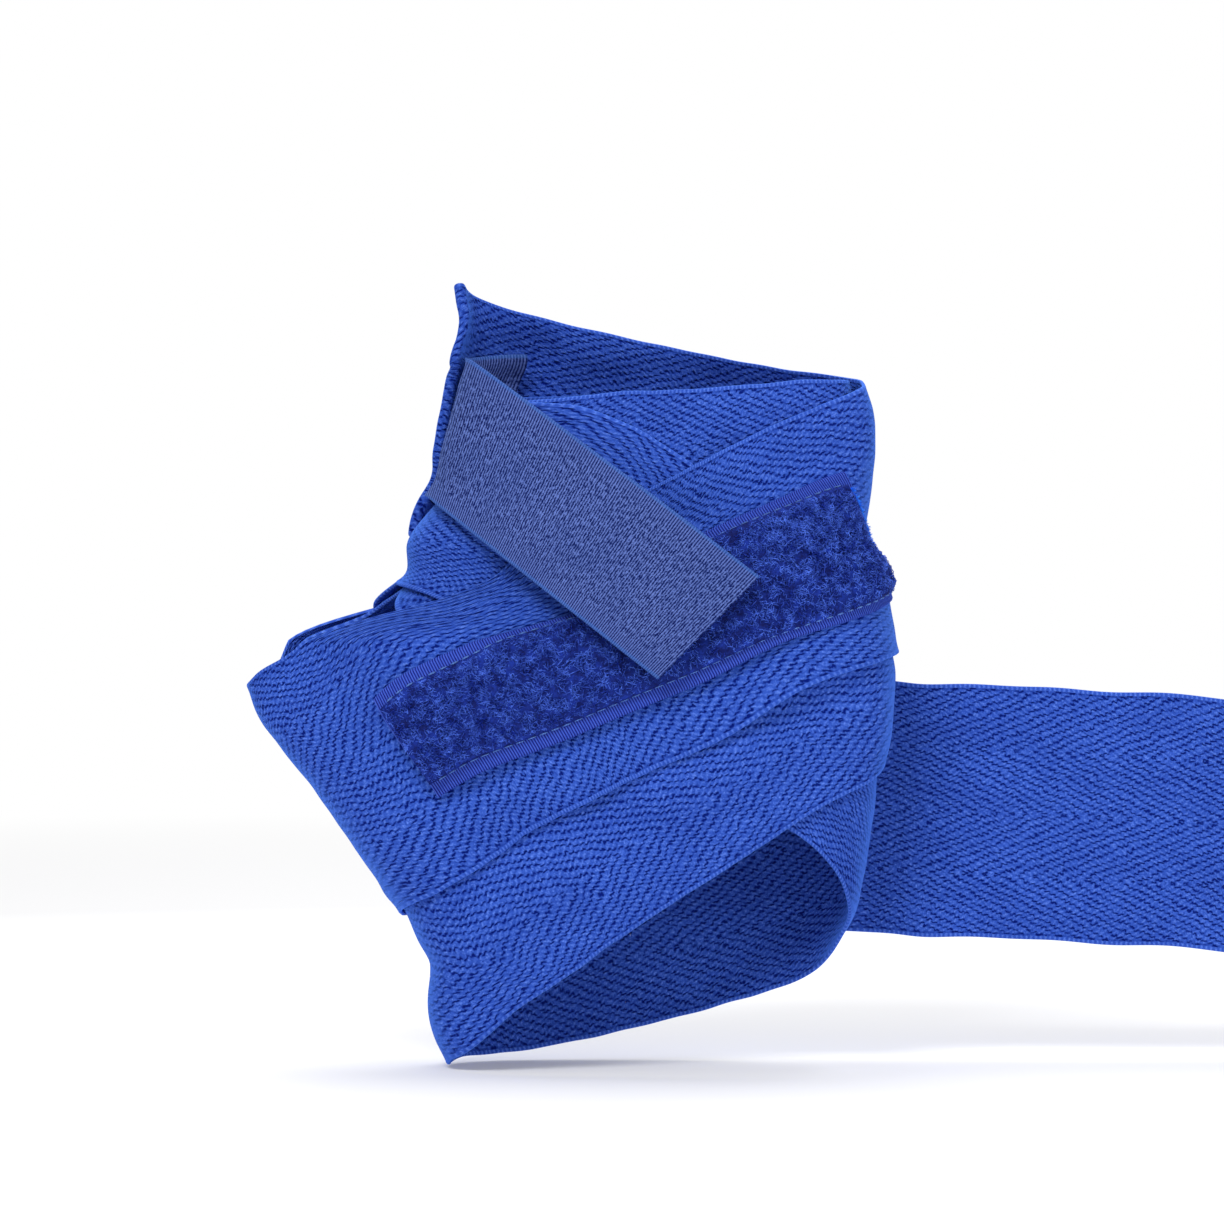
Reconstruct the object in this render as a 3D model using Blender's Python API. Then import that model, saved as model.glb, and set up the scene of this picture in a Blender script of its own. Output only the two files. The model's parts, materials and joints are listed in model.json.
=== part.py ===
"""Boxing hand wrap, wound on a left hand and closed with its hook-and-loop tab.

One 50 mm strip of herringbone webbing goes round the palm four and a half times. Its outer end is
hemmed and carries the hook tape, which closes on the loop patch. Its other end hangs free as the tail,
and ends in the thumb loop.

The hand itself isn't part of the object. Its skin is only a guide surface, skin(turn, z), that the strip
lies on. turn counts half turns round the hand: it is whole on the thumb side (even) and on the little
finger side (odd), the palm lies between an even number and the next odd one, and the back lies between
an odd one and the next even one. z runs up towards the fingers, -Y is the palm side, units are metres.
"""

import math

import bpy
import numpy as np

MM = 0.001

# Driving dimensions
WEBBING_WIDTH = 50 * MM
WEBBING_THICKNESS = 0.8 * MM
LAYER_GAP = 1.0 * MM  # air between one layer and the next, measured at the points of the sheets
TAPE_THICKNESS = 0.8 * MM  # woven ground of the hook tape
HOOK_HEIGHT = 0.8 * MM
LOOP_TAPE_THICKNESS = 0.6 * MM
PILE_HEIGHT = 1.0 * MM
FACE_GAP = 0.4 * MM  # between a tape and the pile or the hooks it carries
THREAD_RADIUS = 0.25 * MM
THREAD_CLEARANCE = 0.7 * MM  # from a sewn face to the middle of its thread
HEM_GAP = 0.7 * MM
HEM_TURNS = 0.1  # width of the folded hem, in turns

# Tail and thumb loop, which leave the back of the hand towards +X
TAIL_LEVEL = 19.4 * MM  # y of the tail's palm-side face
TAIL_FLAT_X = 46 * MM  # from here on the tail is flat
TAIL_HINGE_X = 54 * MM  # first place where the tail bends, clear of the wound turns
TAIL_HINGE_Z = -22 * MM
TAIL_SEGMENT = 33 * MM
TAIL_COUNT = 3
TAIL_SLOPE = -0.052  # the tail hangs a little lower towards its end
HINGE_GAP = 1.4 * MM
TAIL_POINT = 14 * MM  # how far the folded, pointed end of the tail runs
THUMB_TAPE_WIDTH = 16 * MM
THUMB_LOOP_LENGTH = 40 * MM
THUMB_LOOP_OPENING = 18 * MM
THUMB_LOOP_SWEEP = 170  # degrees each way from the loop's far end to where its sides meet
THUMB_LOOP_TAPER = 0.45  # how much flatter the loop is at the seam than at its far end
THUMB_SEAM_LENGTH = 12 * MM

# The object's origin, in the hand's coordinates: on the palm-side face of the tail, at its root
ORIGIN = (50 * MM, TAIL_LEVEL, TAIL_HINGE_Z + TAIL_SLOPE * (50 * MM - TAIL_HINGE_X))

# The hand's outline seen from the palm side, as (z, x) in mm, and half of its depth, as (z, depth)
THUMB_SIDE = (
    (-72, -37.5), (-60, -41), (-52, -40.5), (-47, -43), (-41, -45.5), (-19, -60), (3, -75.5),
    (10, -76), (17, -57), (22.5, -45.5), (31, -43), (40, -36), (48, -33.8), (60, -30.6), (67, -29),
    (75, -33), (84, -35.5),
)
LITTLE_FINGER_SIDE = (
    (-72, 34), (-60, 35.5), (-50, 38), (-42, 41.5), (-28, 44.4), (-20, 45.5), (-10, 46), (3, 43.5),
    (9, 41.4), (20, 39.3), (31, 38.4), (40, 40.8), (51, 42), (62, 41), (84, 39),
)
HALF_DEPTH = ((-72, 17), (-50, 18.5), (-20, 18.5), (0, 17), (30, 14.5), (60, 12.5), (84, 11))
ROUNDNESS = 2.8  # exponent of the superellipse across the hand: 2 is an ellipse, more is boxier
THUMB_ROOT_X = -38 * MM  # the hand gets thinner from here out to the thumb
THUMB_ROOT_REACH = 38 * MM
THUMB_THINNING = 0.36
NORMAL_TURNS = 0.02
NORMAL_REACH = 6 * MM

# Middle line and half height of the strip along its way, as (turn, z, half height) in mm
STRIP_PATH = (
    (1.38, -20, 25), (1.46, -13, 27), (1.54, 2, 30.5), (1.64, 17, 30.5), (1.76, 30.5, 24.5), (1.82, 36, 20),
    (1.88, 38.2, 18.7), (2.0, 40, 18.0), (2.12, 39.5, 18.5), (2.25, 37.5, 20.5), (2.5, 35.5, 24.7), (2.75, 37.5, 24.7),
    (3.0, 38, 24.5), (3.25, 37, 24.5), (3.5, 36, 24.5), (3.75, 37.5, 22), (4.0, 40, 18.0),
    (4.12, 40, 18.8), (4.25, 38.9, 19.0), (4.37, 35.3, 21.0), (4.5, 24, 25.5), (4.63, 10.5, 27.5),
    (4.75, -2.7, 25.3), (4.87, -13, 26.5), (5.0, -19, 27.5), (5.12, -24, 28), (5.25, -29, 28.5),
    (5.5, -38, 28), (5.75, -42, 28.5), (6.0, -42, 29.5), (6.12, -40.5, 29.5), (6.25, -37.3, 29),
    (6.37, -26.7, 28.8), (6.5, -15.3, 28.7), (6.63, -3.9, 28.4), (6.75, 7.6, 28.1), (6.87, 13, 27.8),
    (7.0, 16.5, 27.5), (7.12, 23, 27), (7.25, 31.5, 26), (7.37, 31.5, 25.5), (7.5, 18, 28.5),
    (7.63, 6, 29.5), (7.75, -10, 28.0), (7.87, -20, 21.5), (8.0, -19.1, 22.1), (8.12, -17.5, 22.2),
    (8.25, -12, 24.2), (8.37, 2, 29.6), (8.5, 11.7, 29.5), (8.63, 20.9, 29.5), (8.75, 29.5, 27.2),
    (8.87, 33, 27), (9.0, 34.6, 27.2), (9.25, 38, 26.5), (9.5, 44, 26), (9.75, 52, 26), (9.91, 56, 25.5),
)
STRIP_START = STRIP_PATH[0][0]
STRIP_END = STRIP_PATH[-1][0]
END_SHEAR = 0.06  # the upper corner of the strip's end is this much further round, in turns
SHEARED_TURNS = 0.4
# Passes from the innermost out. Pass n runs from turn n to n + 1, so even ones cross the palm.
LAYER_ORDER = (2, 4, 5, 1, 3, 6, 7, 8, 9)
# Lengths that the wound strip is cut into, each a solid of its own: name, first turn, last turn
STRIP_LENGTHS = (
    ("webbing_knuckle_turn", STRIP_START, 3.5),
    ("webbing_palm_cross", 3.5, 5.5),
    ("webbing_wrist_turn", 5.5, 7.5),
    ("webbing_thumb_turn", 7.5, 9.5),
    ("webbing_closing_end", 9.5, STRIP_END),
)
CUT_GAP_TURN = 0.012  # share of a half turn left open between two lengths
# Layers that go on as one another round the sides of the hand
SIDE_JOINTS = [(number, number + 1) for number in range(1, 9)] + [("tape_sewn", "hook_tape")]

# Loop patch on the outermost palm pass: turns where it starts and ends, and its edges as (turn, share
# of the strip's half height)
PATCH_TURNS = (8.32, 8.94)
PATCH_LOW = ((8.32, -0.5), (8.45, -0.6), (8.7, -0.63), (8.94, -0.57))
PATCH_HIGH = ((8.32, 0.14), (8.43, 0.15), (8.6, 0.42), (8.94, 0.48))
SELVEDGE = 0.08  # woven edge outside the pile, in the same shares
PILE_END_MARGIN = 0.014  # in turns
PATCH_COLUMNS, PATCH_ROWS = 16, 6

# Corners of the hook tape seen from the palm side, as (x, z) in mm: upper and lower at the side of the
# hand, then upper and lower at the tip
TAPE_SIDE = ((-34.0, 67.2), (-42.0, 40.3))
TAPE_TIP = ((22.5, 23.9), (3.4, 4.6))
TAPE_LEVEL = 5 * MM  # about how far the tape lies above the skin
TAPE_SLACK = 4 * MM  # how much lower on the skin the tape's root may lie than its lower corner
AIMING_ROUNDS = 5
TAPE_SEWN_TURN = 9.74  # the sewn end reaches this far round the back, under the webbing's end
TAPE_ROOT_SHARE = 0.13  # share of the tape's length that stays on the hand when it is peeled
TAPE_FOLD_SHARE = 0.55  # where the tip folds away from the rest
TAPE_GAP_SHARE = 0.04  # opening between two pieces of the tape, as a share of its length
HOOK_MARGIN = 0.012  # bare end of each piece, as a share of the tape's length
HOOK_INSET = 0.1  # bare edge, as a share of half the tape's width
TAPE_SEAM_TURNS = (9.745, 9.785)
TAPE_SEAM_ROWS = (-0.42, 0.3)

# Resolution of the meshes and of the height maps of the layers
COLUMNS_PER_PASS = 24
STRIP_ROWS = 12
MAP_COLUMNS = 96
MAP_LOW, MAP_HIGH = -76 * MM, 88 * MM
MAP_STEP = 1 * MM
SIDE_FADE = 0.2  # share of a pass that helps to level its two ends
SETTLING_ROUNDS = 3
DRAPE_REACH = 5  # in map cells: how far out a layer starts to climb over an edge beneath it
TAPE_REACH = 9

MATERIALS = {
    "webbing": ((0.030, 0.110, 0.560), 0.85),
    "hook_tape": ((0.060, 0.145, 0.480), 0.55),
    "hooks": ((0.050, 0.120, 0.460), 0.45),
    "loop_tape": ((0.035, 0.075, 0.500), 0.60),
    "loop_pile": ((0.010, 0.050, 0.430), 0.90),
    "thread": ((0.045, 0.170, 0.650), 0.60),
    "thumb_tape": ((0.030, 0.090, 0.500), 0.75),
}


def smooth(points, scale=MM):
    """A curve through (place, value) points, as a function of place. Extremes stay at the points."""
    place, value = (np.array(column, float) * scale for column in zip(*points))
    slope = np.diff(value) / np.diff(place)
    tangent = np.concatenate([slope[:1], (slope[1:] + slope[:-1]) / 2, slope[-1:]])
    tangent[1:-1][slope[1:] * slope[:-1] <= 0] = 0

    def curve(at):
        at = np.clip(at, place[0], place[-1])
        i = np.clip(np.searchsorted(place, at, side="right") - 1, 0, len(place) - 2)
        step = place[i + 1] - place[i]
        u = (at - place[i]) / step
        start = (1 + 2 * u) * (1 - u) ** 2 * value[i] + u * (1 - u) ** 2 * step * tangent[i]
        end = u * u * (3 - 2 * u) * value[i + 1] - u * u * (1 - u) * step * tangent[i + 1]
        return start + end

    return curve


thumb_side = smooth(THUMB_SIDE)
little_finger_side = smooth(LITTLE_FINGER_SIDE)
half_depth = smooth(HALF_DEPTH)
strip_middle = smooth([(turn, z * MM) for turn, z, _ in STRIP_PATH], 1)
strip_half = smooth([(turn, half * MM) for turn, _, half in STRIP_PATH], 1)
patch_low = smooth(PATCH_LOW, 1)
patch_high = smooth(PATCH_HIGH, 1)


def eased(share):
    share = np.clip(share, 0, 1)
    return share * share * (3 - 2 * share)


def skin(turn, z):
    """Points of the hand's skin at a turn and a height, as an array of x, y, z."""
    turn, z = np.broadcast_arrays(np.asarray(turn, float), np.asarray(z, float))
    across, deep = np.cos(math.pi * turn), np.sin(math.pi * turn)
    radius = (np.abs(across) ** ROUNDNESS + np.abs(deep) ** ROUNDNESS) ** (-1 / ROUNDNESS)
    left, right = thumb_side(z), little_finger_side(z)
    x = (left + right) / 2 - (right - left) / 2 * across * radius
    thin = 1 - THUMB_THINNING * eased((THUMB_ROOT_X - x) / THUMB_ROOT_REACH)
    return np.stack([x, -half_depth(z) * thin * deep * radius, z], axis=-1)


def skin_normal(turn, z):
    """Unit vectors that point out of the hand. They are taken over a wide patch, so that they don't
    cross above a hollow."""
    along = skin(turn + NORMAL_TURNS, z) - skin(turn - NORMAL_TURNS, z)
    up = skin(turn, z + NORMAL_REACH) - skin(turn, z - NORMAL_REACH)
    normal = np.cross(along, up)
    return normal / np.linalg.norm(normal, axis=-1, keepdims=True)


def turn_on_palm(x, z, lift):
    """The turn, from 0 to 1, whose palm-side point lies at x when it stands lift above the skin."""
    left, right = thumb_side(z), little_finger_side(z)
    share = np.clip(((left + right) / 2 - x) / ((right - left) / 2 + lift), -0.9999, 0.9999)
    deep = (1 - np.abs(share) ** ROUNDNESS) ** (1 / ROUNDNESS)
    return np.arctan2(deep, share) / math.pi


def strip_turn(turn, row):
    """Where a point of the strip really lies along it: the end is cut aslant."""
    return turn + END_SHEAR * row * np.clip((turn - STRIP_END) / SHEARED_TURNS + 1, 0, 1)


class HeightMaps:
    """How high each layer lies above the skin, on a grid of turn and z for each pass."""

    def __init__(self):
        self.share = np.linspace(0, 1, MAP_COLUMNS)
        self.z = np.arange(MAP_LOW, MAP_HIGH, MAP_STEP)
        self.floor = {}
        self.clear()

    def clear(self):
        self.top = [np.zeros((MAP_COLUMNS, len(self.z))) for _ in range(2)]
        self.lift = {}

    def strip_mask(self, number):
        turn = number + self.share[:, None]
        row = (self.z[None, :] - strip_middle(turn)) / strip_half(turn)
        inside = np.abs(self.z[None, :] - strip_middle(turn)) <= strip_half(turn) + MAP_STEP
        return inside & (turn >= STRIP_START) & (turn <= STRIP_END + END_SHEAR * np.clip(row, -1, 1))

    def lay(self, name, side, mask, thickness, reach=DRAPE_REACH, gap=LAYER_GAP):
        """Adds a layer: the lowest smooth sheet that stays above its side's top and its own floor."""
        high = grown(np.maximum(self.top[side], self.floor.get(name, 0)), reach)
        for _ in range(2):
            high = averaged(high, reach // 2)
        self.lift[name] = high
        self.top[side] = np.where(mask, high + thickness + gap, self.top[side])

    def at(self, name, share, z):
        """Height of a layer between the grid's points."""
        column = np.clip(share, 0, 1) * (MAP_COLUMNS - 1)
        row = np.clip((z - MAP_LOW) / MAP_STEP, 0, len(self.z) - 1.001)
        i = np.minimum(column.astype(int), MAP_COLUMNS - 2)
        j = row.astype(int)
        u, v = column - i, row - j
        grid = self.lift[name]
        low = grid[i, j] * (1 - u) + grid[i + 1, j] * u
        high = grid[i, j + 1] * (1 - u) + grid[i + 1, j + 1] * u
        return low * (1 - v) + high * v

    def raise_floors(self):
        """Makes each layer reach, at the side of the hand, the height of the one it goes on as."""
        fade = 1 - eased(self.share[:, None] / SIDE_FADE)
        for before, after in SIDE_JOINTS:
            height = np.maximum(self.lift[before][-1], self.lift[after][0])
            for name, share in ((before, fade[::-1]), (after, fade)):
                floor = np.maximum(self.floor.get(name, 0), height * share)
                self.floor[name] = floor

    def join_at_sides(self):
        """Closes the small steps that are left where one pass goes on as the next."""
        fade = 1 - eased(self.share[:, None] / SIDE_FADE)
        for before, after in SIDE_JOINTS:
            middle = np.maximum(self.lift[before][-1], self.lift[after][0])
            self.lift[before] = self.lift[before] + (middle - self.lift[before][-1]) * fade[::-1]
            self.lift[after] = self.lift[after] + (middle - self.lift[after][0]) * fade


def grown(grid, reach):
    """Each cell takes the highest value within reach. The edges repeat outwards."""
    padded = np.pad(grid, reach, mode="edge")
    size = grid.shape
    shifts = range(2 * reach + 1)
    rows = np.max([padded[:, j : j + size[1]] for j in shifts], axis=0)
    return np.max([rows[i : i + size[0], :] for i in shifts], axis=0)


def averaged(grid, reach):
    padded = np.pad(grid, reach, mode="edge")
    size = grid.shape
    shifts = range(2 * reach + 1)
    rows = np.mean([padded[:, j : j + size[1]] for j in shifts], axis=0)
    return np.mean([rows[i : i + size[0], :] for i in shifts], axis=0)


def tape_points(share, row):
    """Palm-side x and z on the hook tape: share runs from the side of the hand to the tip, row from its
    lower edge (-1) to its upper edge (1)."""
    side_high, side_low, tip_high, tip_low = (np.array(p) * MM for p in (*TAPE_SIDE, *TAPE_TIP))
    share, row = share[..., None], (row[..., None] + 1) / 2
    low = side_low + (tip_low - side_low) * share
    high = side_high + (tip_high - side_high) * share
    points = low + (high - low) * row
    return points[..., 0], points[..., 1]


def lay_everything(maps):
    """Lays every pass in order, and the tape and its patch where they go between them."""
    share, z = np.meshgrid(maps.share, maps.z, indexing="ij")
    lowest, highest = TAPE_SIDE[1][1] * MM - TAPE_SLACK, TAPE_SIDE[0][1] * MM
    sewn = (share >= TAPE_SEWN_TURN - 9) & (z > lowest) & (z < highest)
    place = (z - strip_middle(8 + share)) / strip_half(8 + share)
    patch = (place > patch_low(8 + share)) & (place < patch_high(8 + share))
    patch &= (share > PATCH_TURNS[0] - 8) & (share < PATCH_TURNS[1] - 8)
    everywhere = np.ones_like(patch)
    for number in LAYER_ORDER:
        if number == 9:
            maps.lay("tape_sewn", 1, sewn, TAPE_THICKNESS)
        maps.lay(number, number % 2, maps.strip_mask(number), WEBBING_THICKNESS)
    maps.lay("loop_tape", 0, patch, LOOP_TAPE_THICKNESS, gap=FACE_GAP)
    maps.lay("loop_pile", 0, patch, PILE_HEIGHT)
    maps.lay("hooks", 0, everywhere, HOOK_HEIGHT, TAPE_REACH, FACE_GAP)
    maps.lay("hook_tape", 0, everywhere, TAPE_THICKNESS)


def stack_layers():
    maps = HeightMaps()
    for _ in range(SETTLING_ROUNDS):
        maps.clear()
        lay_everything(maps)
        maps.raise_floors()
    maps.join_at_sides()
    return maps


def material(slot):
    found = bpy.data.materials.get(slot)
    if found:
        return found
    colour, roughness = MATERIALS[slot]
    made = bpy.data.materials.new(slot)
    made.use_nodes = True
    shader = made.node_tree.nodes["Principled BSDF"]
    shader.inputs["Base Color"].default_value = (*colour, 1)
    shader.inputs["Roughness"].default_value = roughness
    shader.inputs["Metallic"].default_value = 0
    return made


def sheet(name, points, thickness, slot, origin=(0, 0, 0), outward=1):
    """A solid from a grid of points: the grid is its inner face, and its thickness goes outward."""
    columns, rows, _ = points.shape
    local = points.reshape(-1, 3) - np.array(origin)
    corner = np.arange(columns * rows).reshape(columns, rows)
    quads = [corner[:-1, :-1], corner[1:, :-1], corner[1:, 1:], corner[:-1, 1:]]
    faces = np.stack([q.ravel() for q in quads], axis=-1)
    mesh = bpy.data.meshes.new(name)
    mesh.from_pydata([tuple(p) for p in local], [], [tuple(int(i) for i in f) for f in faces])
    mesh.shade_smooth()
    mesh.materials.append(material(slot))
    obj = bpy.data.objects.new(name, mesh)
    obj.location = np.array(origin) - ORIGIN
    bpy.context.scene.collection.objects.link(obj)
    shell = obj.modifiers.new("thickness", "SOLIDIFY")
    shell.thickness = thickness
    shell.offset = outward
    return obj


def thread(name, points, closed, slot="thread"):
    """A sewing thread along points."""
    curve = bpy.data.curves.new(name, "CURVE")
    curve.dimensions = "3D"
    curve.bevel_depth = THREAD_RADIUS
    curve.bevel_resolution = 0
    curve.use_fill_caps = not closed
    line = curve.splines.new("POLY")
    line.points.add(len(points) - 1)
    for point, place in zip(line.points, points):
        point.co = (*place, 1)
    line.use_cyclic_u = closed
    curve.materials.append(material(slot))
    obj = bpy.data.objects.new(name, curve)
    obj.location = -np.array(ORIGIN)
    bpy.context.scene.collection.objects.link(obj)
    return obj


def strip_points(maps, turn, rows, clearance=0.0):
    """Points across the strip at one turn, some clearance above its inner face."""
    z = strip_middle(turn) + rows * strip_half(turn)
    turns = strip_turn(turn, rows)
    number = min(int(turn), 9)
    lift = maps.at(number, turns - number, z) + clearance
    return skin(turns, z) + skin_normal(turns, z) * lift[:, None]


def strip_grid(maps, first, last):
    """Inner face of the strip between two turns: columns along it, rows across it."""
    whole = np.arange(0, 11 * COLUMNS_PER_PASS) / COLUMNS_PER_PASS
    between = whole[(whole > first + 0.01) & (whole < last - 0.01)]
    rows = np.linspace(-1, 1, STRIP_ROWS + 1)
    turns = np.concatenate([[first], between, [last]])
    return np.array([strip_points(maps, turn, rows) for turn in turns])


def tail_row(x, rows):
    """Points across the flat tail at x. Rows run from its lower edge (-1) to its upper one (1)."""
    z = TAIL_HINGE_Z + TAIL_SLOPE * (x - TAIL_HINGE_X) + rows * WEBBING_WIDTH / 2
    return np.stack([np.full_like(z, x), np.full_like(z, TAIL_LEVEL), z], axis=-1)


def tail_root(first_column, rows):
    """Leads the strip's first column off the back of the hand, to the flat root of the tail."""
    flat = [tail_row(x, rows) for x in (TAIL_HINGE_X - HINGE_GAP / 2, TAIL_FLAT_X)]
    bend = [flat[1] + (first_column - flat[1]) * share for share in (0.25, 0.5, 0.75)]
    for column, share in zip(bend, (0.25, 0.5, 0.75)):
        column[:, 1] = TAIL_LEVEL + (first_column[:, 1] - TAIL_LEVEL) * eased(share)
    return np.array(flat + bend)


def wound_strip(maps):
    """The wound webbing, as five lengths with a cut between each and the next."""
    rows = np.linspace(-1, 1, STRIP_ROWS + 1)
    for name, first, last in STRIP_LENGTHS:
        first += 0 if first == STRIP_START else CUT_GAP_TURN / 2
        last -= 0 if last == STRIP_END else CUT_GAP_TURN / 2
        grid = strip_grid(maps, first, last)
        if first == STRIP_START:
            grid = np.concatenate([tail_root(grid[0], rows), grid])
        sheet(name, grid, WEBBING_THICKNESS, "webbing")


def end_hem(maps):
    """The end of the webbing, folded back on itself and sewn, as a narrow double fold."""
    rows = np.linspace(-1, 1, STRIP_ROWS + 1)
    turns = np.linspace(STRIP_END - HEM_TURNS, STRIP_END, 4)
    clearance = WEBBING_THICKNESS + HEM_GAP
    fold = np.array([strip_points(maps, turn, rows, clearance) for turn in turns])
    sheet("webbing_end_hem", fold, WEBBING_THICKNESS, "webbing")
    clearance += WEBBING_THICKNESS + THREAD_CLEARANCE
    thread("hem_stitching", strip_points(maps, turns[1], rows[1:-1], clearance), closed=False)


def patch_points(maps, layer, turn, rows, inset, clearance=0.0):
    """Points across the loop patch at one turn. Rows run from its lower edge (0) to its upper one (1)."""
    low, high = patch_low(turn) + inset, patch_high(turn) - inset
    z = strip_middle(turn) + (low + (high - low) * rows) * strip_half(turn)
    lift = maps.at(layer, np.full_like(z, turn - 8), z) + clearance
    return skin(turn, z) + skin_normal(turn, z) * lift[:, None]


def loop_patch(maps):
    """The loop tape sewn on the outermost palm pass, its pile, and the thread that holds it."""
    rows = np.linspace(0, 1, PATCH_ROWS + 1)
    start, end = PATCH_TURNS
    turns = np.linspace(start, end, PATCH_COLUMNS + 1)
    tape = np.array([patch_points(maps, "loop_tape", turn, rows, 0) for turn in turns])
    sheet("loop_tape", tape, LOOP_TAPE_THICKNESS, "loop_tape")
    turns = np.clip(turns, start + PILE_END_MARGIN, end - PILE_END_MARGIN)
    pile = np.array([patch_points(maps, "loop_pile", turn, rows, SELVEDGE) for turn in turns])
    sheet("loop_pile", pile, PILE_HEIGHT, "loop_pile")

    clearance = LOOP_TAPE_THICKNESS + THREAD_CLEARANCE
    inset, margin = SELVEDGE * 0.45, PILE_END_MARGIN * 0.4
    along = np.linspace(start + margin, end - margin, PATCH_COLUMNS)
    across = np.linspace(0, 1, PATCH_ROWS)
    path = [patch_points(maps, "loop_tape", turn, np.array([0.0]), inset, clearance)[0] for turn in along]
    path += list(patch_points(maps, "loop_tape", along[-1], across, inset, clearance)[1:-1])
    path += [patch_points(maps, "loop_tape", turn, np.array([1.0]), inset, clearance)[0] for turn in along[::-1]]
    path += list(patch_points(maps, "loop_tape", along[0], across[::-1], inset, clearance)[1:-1])
    thread("loop_patch_stitching", path, closed=True)


def aimed(maps, layer, x, z):
    """The turn and height on the skin from which a layer, lying at its own lift, reaches x and z."""
    aim_x, aim_z = x, z
    for _ in range(AIMING_ROUNDS):
        turn = turn_on_palm(aim_x, aim_z, TAPE_LEVEL)
        reached = skin(turn, aim_z) + skin_normal(turn, aim_z) * maps.at(layer, turn, aim_z)[:, None]
        aim_x = aim_x + (x - reached[:, 0])
        aim_z = aim_z + (z - reached[:, 2])
    return turn, aim_z


def tape_grid(maps, layer, first, last, inset, columns):
    """Inner face of a stretch of the hook tape. Shares below 0 lie round the side, on the back."""
    rows = np.linspace(-1 + inset, 1 - inset, 5)
    grid = []
    for share in np.linspace(first, last, columns + 1):
        x, z = tape_points(np.full_like(rows, max(share, 0)), rows)
        turn, z = aimed(maps, layer, x, z)
        turn = turn + min(share, 0)
        on_back = maps.at("tape_sewn", turn + 1, z)
        lift = np.where(turn < 0, on_back, maps.at(layer, turn, z))
        grid.append(skin(turn, z) + skin_normal(turn, z) * lift[:, None])
    return np.array(grid)


def hook_tape(maps):
    """The hook tape in three pieces: sewn root, inner half and tip, with the hooks under the last two."""
    half_gap = TAPE_GAP_SHARE / 2
    root = tape_grid(maps, "hook_tape", TAPE_SEWN_TURN - 10, TAPE_ROOT_SHARE - half_gap, 0, 8)
    sheet("hook_tape_root", root, TAPE_THICKNESS, "hook_tape")
    halves = (
        ("inner_half", TAPE_ROOT_SHARE, TAPE_FOLD_SHARE - half_gap),
        ("tip_half", TAPE_FOLD_SHARE, 1),
    )
    for name, fold, last in halves:
        first = fold + half_gap
        low, _, middle, _, high = tape_grid(maps, "hook_tape", fold, last, 0, 1)[0]
        turn, z = aimed(maps, "hook_tape", middle[[0]], middle[[2]])
        pivot = middle + skin_normal(turn, z)[0] * TAPE_THICKNESS
        tape = tape_grid(maps, "hook_tape", first, last, 0, 6)
        sheet("hook_tape_" + name, tape, TAPE_THICKNESS, "hook_tape", pivot)
        hooks = tape_grid(maps, "hooks", first + HOOK_MARGIN, last - HOOK_MARGIN, HOOK_INSET, 6)
        sheet("hook_bristles_" + name, hooks, HOOK_HEIGHT, "hooks", pivot)
        down = (low - high) / np.linalg.norm(low - high)
        print("hook_tape", name, "folds at", np.round(pivot - ORIGIN, 5), "about", np.round(down, 4))


def hook_tape_stitching(maps):
    """The seam that holds the tape's root, seen on the outer face of the webbing."""
    clearance = WEBBING_THICKNESS + THREAD_CLEARANCE
    up, down = np.linspace(*TAPE_SEAM_ROWS, 6), np.linspace(*TAPE_SEAM_ROWS[::-1], 6)
    path = [*strip_points(maps, TAPE_SEAM_TURNS[0], up, clearance)]
    path += [*strip_points(maps, TAPE_SEAM_TURNS[1], down, clearance)]
    thread("hook_tape_stitching", path, closed=True)


def tail():
    """The free end of the strip, in segments that fold on upright lines. The last one is pointed."""
    for number in range(TAIL_COUNT):
        pivot_x = TAIL_HINGE_X + number * TAIL_SEGMENT
        first, last = pivot_x + HINGE_GAP / 2, pivot_x + TAIL_SEGMENT - HINGE_GAP / 2
        pointed = number == TAIL_COUNT - 1
        stations = [last, last - TAIL_POINT, first] if pointed else [last, first]
        rows = np.linspace(-1, 1, 5)
        widths = [THUMB_TAPE_WIDTH / WEBBING_WIDTH, 1, 1] if pointed else [1, 1]
        columns = [tail_row(x, rows * width) for x, width in zip(stations, widths)]
        pivot = tail_row(pivot_x, np.zeros(1))[0] + (0, WEBBING_THICKNESS / 2, 0)
        sheet(f"webbing_tail_{number + 1}", np.array(columns), WEBBING_THICKNESS, "webbing", pivot)
        print("tail", number + 1, "folds at", np.round(pivot - ORIGIN, 5))


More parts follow.
